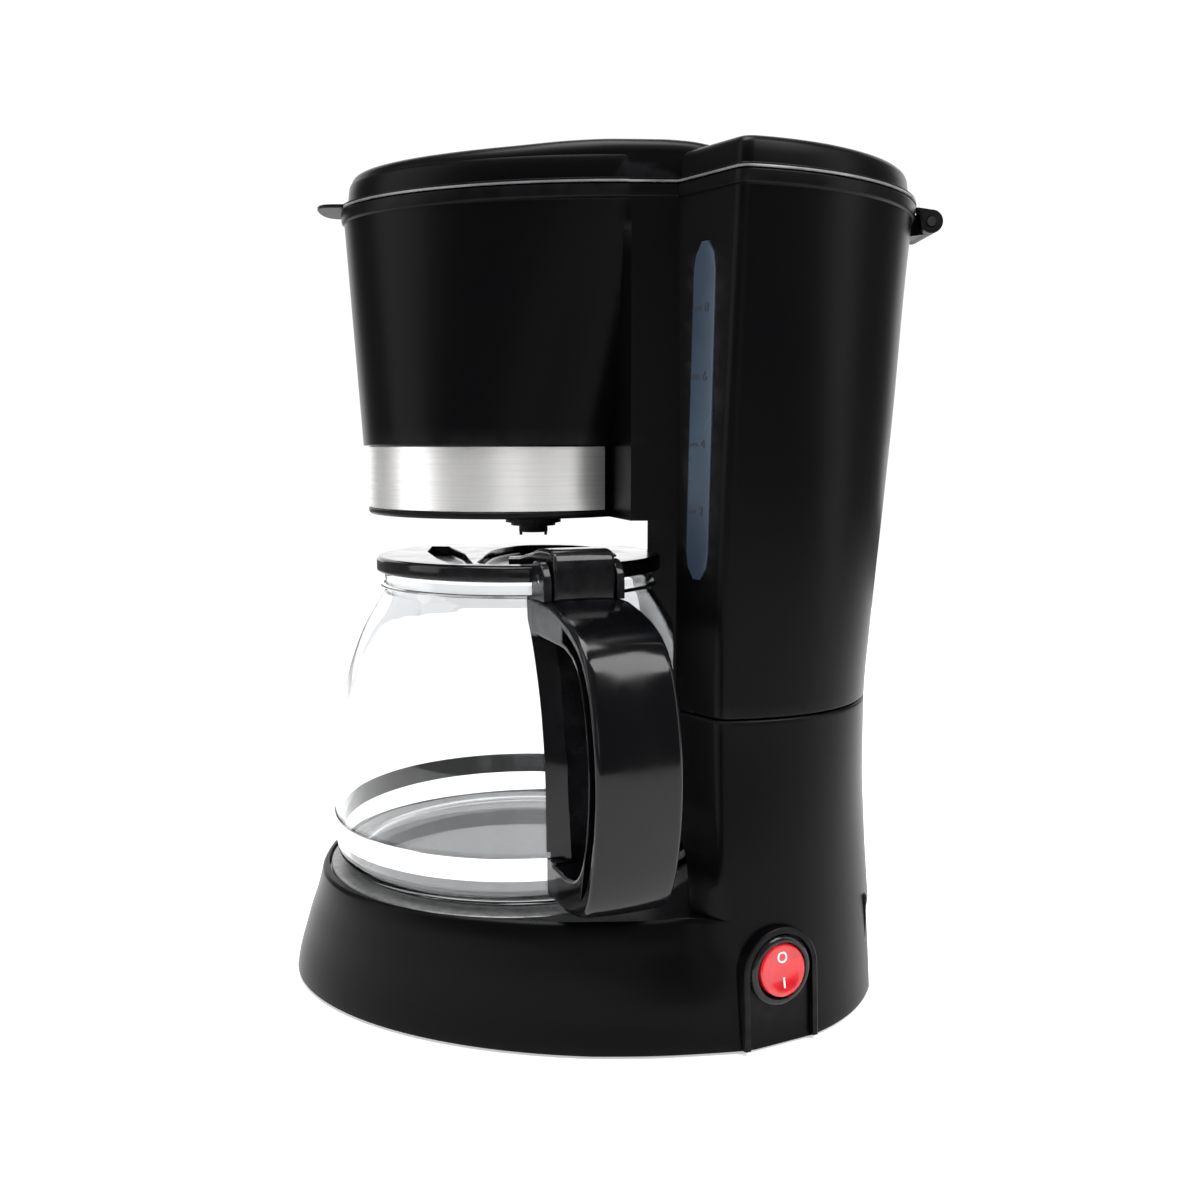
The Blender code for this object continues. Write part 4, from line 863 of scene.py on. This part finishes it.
def build_lower_housing():
    levels = [(HOUSING_FOOT_Z, -0.6), (HOUSING_FOOT_Z + 0.3, -0.2), (HOUSING_FOOT_Z + 0.8, 0)]
    levels += [(z, 0) for z in span(4.5, DECK_Z - 1.6, 2.6)]
    for i in range(6):
        t = math.radians(18 * i)
        levels.append((DECK_Z - 1.3 + 1.6 * math.sin(t), 0, 1.0, 1.9 * (1 - math.cos(t))))
    levels += [(z, 0, BACK_SHRINK) for z in [DECK_Z + 0.3] + span(48, SEAM_Z - 2.0, 4.5)]
    levels += [(SEAM_Z - drop, out, BACK_SHRINK) for drop, out in ((0.8, 0), (0.3, -0.2), (0, -0.6))]

    ceiling = CAVITY_TOP_Z + 1
    inside = [(z, -WALL) for z in [-5] + span(11, ceiling, 5)]
    inside += [(z, -WALL, BACK_SHRINK) for z in [ceiling] + span(50, SHELF_Z, 10)]
    collar = [(z, -WALL, BACK_SHRINK) for z in (SHELF_Z + 3, 130)]
    steps = [(CUT, column_guard(0.0, DECK_Z)),
             (CUT, cavity("space", stack_of(base_half, inside), CAVITY_TOP_Z)),
             (CUT, cavity("collar", stack_of(base_half, collar), CAVITY_TOP_Z)),
             (CUT, cylinder(PLATE_SEAT_R, PLATE_SEAT_Z, 60, 128)),
             (CUT, cylinder(PLATE_HOLE_R, 30, 60, 128))]
    steps += port_holes(BASE_PORT_R, 100, 120)
    gland = Matrix.Translation((INLET_X, INLET_Y - 2, INLET_Z)) @ Matrix.Rotation(math.pi / 2, 4, "X")
    steps += [(JOIN, switch_arch([(-7.0, 15.2), (1.5, 15.2), (1.95, 15.05), (2.2, 14.7)])),
              (CUT, switch_arch([(0.2, 12.9), (1.8, 12.9), (12.0, 14.2)], 40.0)),
              (CUT, in_switch(cylinder(SWITCH_HOLE_R, -30, 10, 64))),
              (JOIN, block((11, INLET_Y - 4.5, HOUSING_FOOT_Z + 1), (45, INLET_Y + 2, CAVITY_TOP_Z + 2))),
              (CUT, block((14, INLET_Y, -5), (41, INLET_Y + 30, 33))),
              (CUT, placed(cylinder(GLAND_HOLE_R, -20, 20, 32), gland))]
    make_piece("lower_shell", stack_of(base_half, levels), "black_shell", "machine", ["lower_housing"], steps)


# ------------------------ lid

LID_FOOT_Z = RIM_Z + GAP
CROWN_FOOT_Z = 299.0
LIP = [(-13, 3), (-12, -5), (-8, -8.4), (0, -9.4), (8, -8.4), (12, -5), (13, 3)]    # from the nose
ARM_REST_Y = (35.0, 78.0)


def lid_outline(out):
    return mirrored(full_half(RIM_Z, out))


def build_lid():
    ledge = LID_FOOT_Z + 1.6
    shell = [(LID_FOOT_Z, 0.6), (LID_FOOT_Z + 0.3, 0.95), (LID_FOOT_Z + 1.2, 1.0), (ledge - 0.1, 0.85),
             (ledge, 0.5), (ledge, -1.6), (ledge + 0.2, -1.8), (298.0, -2.1), (301.0, -2.5), (302.2, -3.1),
             (303.1, -4.2), (303.8, -6.0), (304.3, -9.0), (304.6, -14.0), (304.9, -24.0)]
    crown = [(CROWN_FOOT_Z, -3.0), (303.0, -3.2), (304.6, -3.7), (305.8, -4.5), (306.8, -5.8), (307.5, -7.6),
             (307.8, -10.5), (LID_CROWN_Z - 0.05, -18.0), (LID_CROWN_Z, -32.0)]
    hollow = [(LID_FOOT_Z - 5, -4.8), (300.6, -5.4), (302.2, -9.0)]
    steps = [(JOIN, loft([crown_ring(z, out) for z, out in crown])),
             (CUT, stacked([(z, lid_outline(out)) for z, out in hollow]))]
    for y in ARM_REST_Y:
        x = PORT_X * (y - OUTLET_Y) / (PORT_Y - OUTLET_Y)
        steps.append((JOIN, block((x - 3, y - 2, 298.4), (x + 3, y + 2, 303.2))))
    nose_y = SIDE_FRONT_Y - HEAD_TOP_LENGTH
    lip = curve_through([(x, nose_y + y) for x, y in LIP])
    levels = [(0.1, -0.4), (0.35, 0.0), (1.1, 0.0), (1.4, -0.4)]
    steps.append((JOIN, stacked([(LID_FOOT_Z + rise, grown(lip, out)) for rise, out in levels])))
    steps += [(JOIN, lid_knuckle(-KNUCKLE_END, -KNUCKLE_HALF - 0.5)),
              (JOIN, lid_knuckle(KNUCKLE_HALF + 0.5, KNUCKLE_END)), (CUT, hinge_bore())]
    make_piece("lid_shell", stacked([(z, lid_outline(out)) for z, out in shell]), "black_shell", "lid",
               ["lid"], steps)


def build_lid_line():
    """Painted highlight: a grey strip that runs round the lid's flange and stands in for the light line along
    the rim's bead.
    """
    rings = [[(x, y, LID_FOOT_Z + rise) for x, y in lid_outline(out)] for rise, out in
             ((0.05, 0.4), (0.15, 1.1), (0.45, 1.2), (0.8, 1.1), (0.9, 0.4))]
    bm = bmesh.new()
    bridge(bm, rings, closed=True)
    make_piece("lid_highlight_line", bm, "black_shell", "lid", material=LID_HIGHLIGHT_PAINT)


def crown_ring(z, out):
    """Ring of the lid's crown, which rises to the middle and sinks into the tank's part of the lid."""
    half = head_arc(RIM_Z, out)
    half += [(half[-1][0], y) for y in span(40, 84, 2.0)] + [(0.0, 84.0)]
    return [(x, y, CROWN_FOOT_Z + (z - CROWN_FOOT_Z) * smooth_at(y, CROWN_LIFT)) for x, y in mirrored(half)]


def lid_knuckle(low_x, high_x):
    low, high, front = LID_FOOT_Z + 0.1, RIM_Z + 1.7, HINGE_Y - 14
    web = [(HINGE_Y - 5, high), (front, high), (front, low), (HINGE_Y - 4.9, low)]
    return slab_x(barrel_arc(-150, 240) + web, low_x, high_x)


# ------------------------ switch and plate

def build_switch():
    body = [(0, -16), (10.5, -16), (10.5, 0.5), (12.2, 0.5), (12.3, 1.0), (12.1, 1.7), (11.5, 2.3),
            (10.7, 2.6), (10.0, 2.5), (9.7, 2.2), (9.7, -6), (0, -6)]
    make_piece("switch_bezel", in_switch(turned(body, 72)), "black_gloss", "machine", ["switch_body"],
               [(CUT, in_switch(along_x(cylinder(1.3, -14, 14, 20), 0, ROCKER_PIVOT)))])
    pivot = Matrix.Translation((0, 0, ROCKER_PIVOT))
    tilt = pivot @ Matrix.Rotation(math.radians(SWITCH_REST_DEG), 4, "X") @ pivot.inverted()
    rocker = [(0, -4.5), (5.5, -4.5), (8.9, -1.5), (9.1, 2.3), (9.0, 2.9), (8.5, 3.4), (7.6, 3.5),
              (6.0, 3.2), (3.5, 3.0), (0, 2.9)]
    make_piece("switch_lens", in_switch(placed(turned(rocker, 72), tilt)), "red_lens", "rocker",
               ["switch_rocker"],
               [(JOIN, in_switch(along_x(cylinder(1.0, -10.3, 10.3, 20), 0, ROCKER_PIVOT)))])
    ring = [(1.35, 2.85), (1.95, 2.85), (1.95, 3.2), (1.35, 3.2)]
    spot = Matrix.Translation((0, 4.3, 0.02))
    make_piece("switch_mark_off", in_switch(placed(turned(ring, 40), tilt @ spot)), "red_lens", "rocker",
               material=MARK_PAINT)
    stroke = block((-0.33, -6.1, 2.85), (0.33, -2.6, 3.22))
    make_piece("switch_mark_on", in_switch(placed(stroke, tilt)), "red_lens", "rocker", material=MARK_PAINT)


def build_plate():
    profile = [(0, 42.2), (74.6, 42.2), (75.4, 43.0), (75.4, 43.6), (75.1, 44.0), (74.5, 44.25),
               (73.8, 44.3), (67.0, 44.3), (66.4, 44.2), (65.8, 44.0), (60.0, 44.0), (59.5, 43.8),
               (59.0, 43.8), (58.5, 44.0), (34.0, 44.0), (33.5, 43.8), (33.0, 43.8), (32.5, 44.0), (0, 44.0)]
    make_piece("hot_plate", turned(profile, 128), "plate_grey", "machine", ["warming_plate"],
               [(JOIN, cylinder(4.0, 33.0, 43, 24))])


# ------------------------ jug

JUG_PROFILE = [(70.4, 46.4), (72.6, 50.5), (JUG_R + 0.2, 62), (JUG_R, 80), (71.6, 98), (68.6, 114),
               (64.6, 126.5), (59.6, 138), (53.8, 147.4), (52.0, 151.5), (52.4, JUG_MOUTH_Z)]


def build_jug_glass():
    """Glass from the underside of the foot, up the outside, over the lip and down the inside."""
    outer = [(65.2, JUG_FOOT_Z), (67.6, JUG_FOOT_Z + 0.3)] + curve_through(JUG_PROFILE, 5)
    inner = [(r - GLASS, z) for r, z in reversed(curve_through(JUG_PROFILE[1:], 5))]
    inner += [(68.6, JUG_FOOT_Z + 4.0), (66.0, JUG_FOOT_Z + 3.2), (60, JUG_FOOT_Z + 3.4),
              (30, JUG_FOOT_Z + 3.7), (0, JUG_FOOT_Z + 3.8)]
    lip = [(52.3, JUG_MOUTH_Z + 0.35), (51.3, JUG_MOUTH_Z + 0.6), (50.4, JUG_MOUTH_Z + 0.3)]
    under = [(0, JUG_FOOT_Z + 1.2), (40, JUG_FOOT_Z + 1.1), (58, JUG_FOOT_Z + 0.9), (63, JUG_FOOT_Z + 0.3)]
    make_piece("jug_glass", turned(under + outer + lip + inner, 160), "clear_glass", "carafe",
               ["carafe_glass"], smooth_deg=50)


FACES_IN = -0.01            # normal times distance from the axis in metres, below which a face is inner


def build_jug_rings():
    r = JUG_R + 0.5
    band = [(r, 56.2), (r + 0.45, 56.2), (r + 0.6, 56.5), (r + 0.6, 64.3), (r + 0.45, 64.6), (r, 64.6)]
    steel = make_piece("jug_band", turned(band, 160), "bright_steel", "carafe", ["carafe_band"])
    # The band's inner faces get the near-black painted shade
    steel.data.materials.append(STEEL_PAINTED_SHADE)
    axis = Vector((AXIS_X * MM, AXIS_Y * MM))
    for face in steel.data.polygons:
        if face.normal.xy.dot(face.center.xy - axis) < FACES_IN:
            face.material_index = 1
    neck = [(52.8, 152.1), (53.6, 152.1), (53.9, 152.4), (53.9, 153.1), (53.6, 153.4), (52.8, 153.4)]
    make_piece("jug_neck_ring", turned(neck, 128), "bright_steel", "carafe", ["neck_ring"])


# Side view of the handle, as (r, z) in its own upright plane
HANDLE_FACE = [(90, 50.3), (104, 53.4), (110.6, 58.4), (115, 68), (118, 81), (119.3, 93), (119.3, 103),
               (118.1, 113), (116.1, 122), (113.1, 131), (109.1, 138.6), (103, 144.5), (95, 148.6),
               (86, 151.2)]
WINDOW_FACE = [(90, 63.2), (98, 65), (103.4, 69.4), (106.6, 75.5), (108.8, 84), (110.1, 94), (110.1, 105),
               (107.8, 118), (103.8, 129.6), (97.6, 136.6), (89, 139.8)]
GROOVE_OUTER = [(104, 59.5), (109.8, 66), (113.2, 74), (116.0, 86), (117.2, 97), (116.4, 109), (114.4, 119),
                (111.2, 129), (105.6, 137.4), (98.5, 142.6), (88, 146.6)]
GROOVE_INNER = [(88, 142.2), (94.6, 140.2), (100.4, 136.4), (105.2, 130), (109.2, 118.6), (111.6, 105.4),
                (111.6, 94), (110.2, 83.4), (107.8, 74.6)]
GROOVE_DEPTH = 5.0
SLOT_FLOOR_Z = 150.0
SLOT_R = 72.4
SLOT_HALF = 11.8
EAR = [(57.6, 153), (70.5, 153), (70.5, 159), (69.8, 162), (68.2, 164.6), (66, 166.2), (63.5, 166.6),
       (60.5, 166.2), (58.4, 165), (57.6, 163)]
EAR_HALF = 1.5
EAR_Y = 13.45
GLASS_PLAY = 0.4            # between the glass and the handle


def build_handle():
    outline = [(66, 50.3)] + curve_through(HANDLE_FACE, 5) + [(76, 153.2), (50, 154.4)]
    window = [(78.6, 63.6)] + curve_through(WINDOW_FACE, 5)
    window += [(63.0, 140.6), (69.0, 128), (73.2, 114), (76.4, 98), (77.9, 80)]
    half = HANDLE_HALF
    steps = [(CUT, slot_across(window, half, 1.3))]
    groove = curve_through(GROOVE_OUTER, 4) + curve_through(GROOVE_INNER, 4)
    levels = [(half - GROOVE_DEPTH, -0.3), (half - 0.4, 0.0), (half, 0.25), (half + 3.0, 0.6)]
    for side in (-1, 1):
        rings = [[(r, side * y, z) for r, z in grown(groove, amount)] for y, amount in levels]
        steps.append((CUT, placed(loft(rings), HANDLE_TURN)))
    bowl = [(r + GLASS_PLAY, z) for r, z in [(66.6, 40)] + curve_through(JUG_PROFILE[1:], 3)]
    slot = [(40, SLOT_FLOOR_Z), (SLOT_R, SLOT_FLOOR_Z), (SLOT_R, 170), (40, 170)]
    steps += [(CUT, turned([(0, 30)] + bowl + [(0, JUG_MOUTH_Z)], 96)),
              (CUT, cylinder(JUG_R + 1.6, 50, 66.5, 96)), (CUT, cylinder(54.8, 149, 170, 96)),
              (CUT, plate_across(slot, SLOT_HALF))]
    for side in (-1, 1):
        shift = Matrix.Translation(HANDLE_TURN @ Vector((0, side * EAR_Y, 0)))
        steps.append((JOIN, placed(plate_across(EAR, EAR_HALF, 0.5), shift)))
    steps += [(CUT, jug_pin(JUG_PIN_R + GAP, 30)), (CUT, strap_slope(-1)), (CUT, strap_slope(1))]
    make_piece("jug_handle", plate_across(outline, half, 1.6, 0.7), "black_gloss", "carafe",
               ["carafe_handle"], steps, smooth_deg=38)


def strap_slope(side):
    """Wedge that slopes the strap along the glass away from the glass to the middle of the handle."""
    rings = []
    for z in span(64.3, 140.3, 4.8):
        wall = math.sqrt(jug_radius(z) ** 2 - HANDLE_HALF ** 2)
        ring = [(wall - 0.3, side * (HANDLE_HALF + 1)), (wall + 9.0, side * (HANDLE_HALF + 1)),
                (wall + 9.0, side * 6.0), (wall + 0.9, side * (HANDLE_HALF - 0.3))]
        rings.append([(r, y, z) for r, y in ring])
    return placed(loft(rings), HANDLE_TURN)


def jug_radius(z):
    """Outer radius of the jug's belly at height z."""
    return smooth_at(z, [(height, r) for r, height in JUG_PROFILE])


def jug_pin(r, half):
    bar = placed(cylinder(r, -half, half, 28), Matrix.Rotation(-math.pi / 2, 4, "X"))
    return placed(bar, HANDLE_TURN @ Matrix.Translation((JUG_HINGE_R, 0, JUG_HINGE_Z)))


def build_jug_lid():
    top = JUG_LID_TOP_Z
    r = JUG_LID_R
    disc = [(0, 158.6), (49, 158.6), (49, 157.9), (r - 0.8, 157.9), (r - 0.2, 158.2), (r, 158.8),
            (r, top - 1.4), (r - 0.3, top - 0.7), (r - 0.9, top - 0.2), (r - 1.7, top), (0, top)]
    trough = [(-33, -37), (-32, -30.5), (2, -21.5), (45, -15.5), (46, -23), (22, -30), (-8, -36.5)]
    bowl = curve_through([(45, -12.5), (20, -13), (-10, -11), (-30, -4), (-38, 4), (-36, 20), (-22, 32),
                          (2, 37), (24, 35), (40, 22), (47, 4)], 3, closed=True)
    steps = []
    for outline in (trough, bowl):
        area = sum(a[0] * b[1] - b[0] * a[1] for a, b in zip(outline, outline[1:] + outline[:1]))
        if area < 0:
            outline = outline[::-1]
        levels = [(160.4, -0.8), (160.9, -0.2), (top - 0.4, 0.2), (top, 0.5), (170, 2.5)]
        steps.append((CUT, stacked([(z, grown(outline, amount)) for z, amount in levels])))
    thumb = [(48, 158.4), (56.5, 158.3), (60.5, 155.4), (62.5, 152), (69.6, 151.4), (70.8, 152.2),
             (71.0, 154), (71.0, 163.5), (70.7, 166.4), (69.6, 168.7), (67.8, 169.9), (65.4, 170.3),
             (57, 170.2), (52, 169.5), (47, 168.2), (34, 165.8), (20, 164.4), (20, 158.4)]
    steps.append((JOIN, plate_across(thumb, 11.3, 1.3)))
    steps.append((CUT, jug_pin(JUG_PIN_R + GAP, 30)))
    make_piece("jug_lid", turned(disc, 144), "black_gloss", "carafe_lid", ["carafe_lid"], steps)


# ------------------------ carried-over nodes

def paint_frame_nodes():
    """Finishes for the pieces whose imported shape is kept. Their CAD material has their slot's name."""
    for name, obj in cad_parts.items():
        if obj.hide_render:
            continue
        slot = obj.data.materials[0].name.split(".")[0]
        for entry in obj.material_slots:
            # The hinge pin gets the same near-black painted shade as the band's inner side
            entry.material = STEEL_PAINTED_SHADE if name == "hinge_pin" else FINISH[slot]


# ------------------------ studio, in metres

FLOOR_RADIUS = 1.15
FLOOR_Z = -0.0002
FLOOR_GLOW = 0.5
SHEET_STRENGTH = 1.05       # behind the object, as the camera sees it, straight or through the glass
ROOM_STRENGTH = 0.17        # as every other ray sees it
LIGHTS = [                  # name, place, aim, width, height, watts
    ("light_top", (0.12, -0.12, 1.25), (0.0, 0.0, 0.1), 0.6, 0.8, 17),
    ("light_front", (1.3, -0.02, 0.3), (0.0, 0.0, 0.19), 0.5, 0.3, 0.5),
    ("light_key", (0.62, 0.84, 1.3), (0.08, 0.0, 0.14), 0.7, 0.8, 18),
    ("light_back", (-1.5, 0.0, 0.75), (0.0, 0.0, 0.2), 3.2, 1.5, 22),
    ("light_left", (0.3, -1.5, 0.7), (0.0, 0.0, 0.15), 0.9, 1.4, 8),
    ("light_right", (0.3, 1.6, 0.6), (0.0, 0.0, 0.15), 0.5, 1.4, 5),
]
CAMERA_X = 0.4905           # from the jug's axis
CAMERA_Y = 0.0137
CAMERA_Z = 0.206
LOOK_X = -0.99933
LOOK_Y = 0.03664
PITCH_DEG = 7.09
LENS_MM = 37.47
SENSOR_MM = 36.0


def build_floor():
    bm = bmesh.new()
    bmesh.ops.create_circle(bm, cap_ends=True, segments=96, radius=FLOOR_RADIUS)
    bmesh.ops.translate(bm, verts=bm.verts, vec=(0, 0, FLOOR_Z))
    floor = linked_mesh("floor", bm)
    paint = Paint("floor_paper", (0.9, 0.9, 0.9), 0.8)
    paint.bump(paint.noise(900), 0.00002, 0.2)
    paint.set("Emission Color", (1.0, 1.0, 1.0, 1.0))
    paint.set("Emission Strength", FLOOR_GLOW)
    floor.data.materials.append(paint.material)


def build_world():
    world = bpy.data.worlds.new("studio")
    world.use_nodes = True
    tree = world.node_tree
    tree.nodes.clear()
    output, mix, path, either = (tree.nodes.new("ShaderNode" + kind) for kind in (
        "OutputWorld", "MixShader", "LightPath", "Math"))
    either.operation = "MAXIMUM"
    tree.links.new(path.outputs["Is Camera Ray"], either.inputs[0])
    tree.links.new(path.outputs["Is Transmission Ray"], either.inputs[1])
    tree.links.new(either.outputs[0], mix.inputs[0])
    for socket, strength in ((1, ROOM_STRENGTH), (2, SHEET_STRENGTH)):
        background = tree.nodes.new("ShaderNodeBackground")
        background.inputs["Color"].default_value = (1, 1, 1, 1)
        background.inputs["Strength"].default_value = strength
        tree.links.new(background.outputs[0], mix.inputs[socket])
    tree.links.new(mix.outputs[0], output.inputs["Surface"])
    bpy.context.scene.world = world


def build_lights():
    for name, place, aim, width, height, power in LIGHTS:
        light = bpy.data.lights.new(name, "AREA")
        light.shape = "RECTANGLE"
        light.size = width
        light.size_y = height
        light.energy = power
        lamp = linked(name, light)
        lamp.location = place
        lamp.rotation_euler = (Vector(aim) - Vector(place)).to_track_quat("-Z", "Y").to_euler()
        lamp.visible_camera = False
        lamp.visible_transmission = False


def build_camera():
    data = bpy.data.cameras.new("camera")
    data.lens = LENS_MM
    data.sensor_width = SENSOR_MM
    camera = linked("camera", data)
    camera.location = (AXIS_X * MM + CAMERA_X, AXIS_Y * MM + CAMERA_Y, CAMERA_Z)
    pitch = math.radians(PITCH_DEG)
    look = Vector((LOOK_X * math.cos(pitch), LOOK_Y * math.cos(pitch), -math.sin(pitch)))
    camera.rotation_euler = look.to_track_quat("-Z", "Y").to_euler()
    bpy.context.scene.camera = camera
    bpy.context.scene.view_settings.view_transform = "Standard"


build_upper_housing()
build_trim_band()
build_gauge()
build_lower_housing()
build_lid()
build_lid_line()
build_switch()
build_plate()
build_jug_glass()
build_jug_rings()
build_handle()
build_jug_lid()
paint_frame_nodes()
build_floor()
build_world()
build_lights()
build_camera()

bpy.context.view_layer.update()
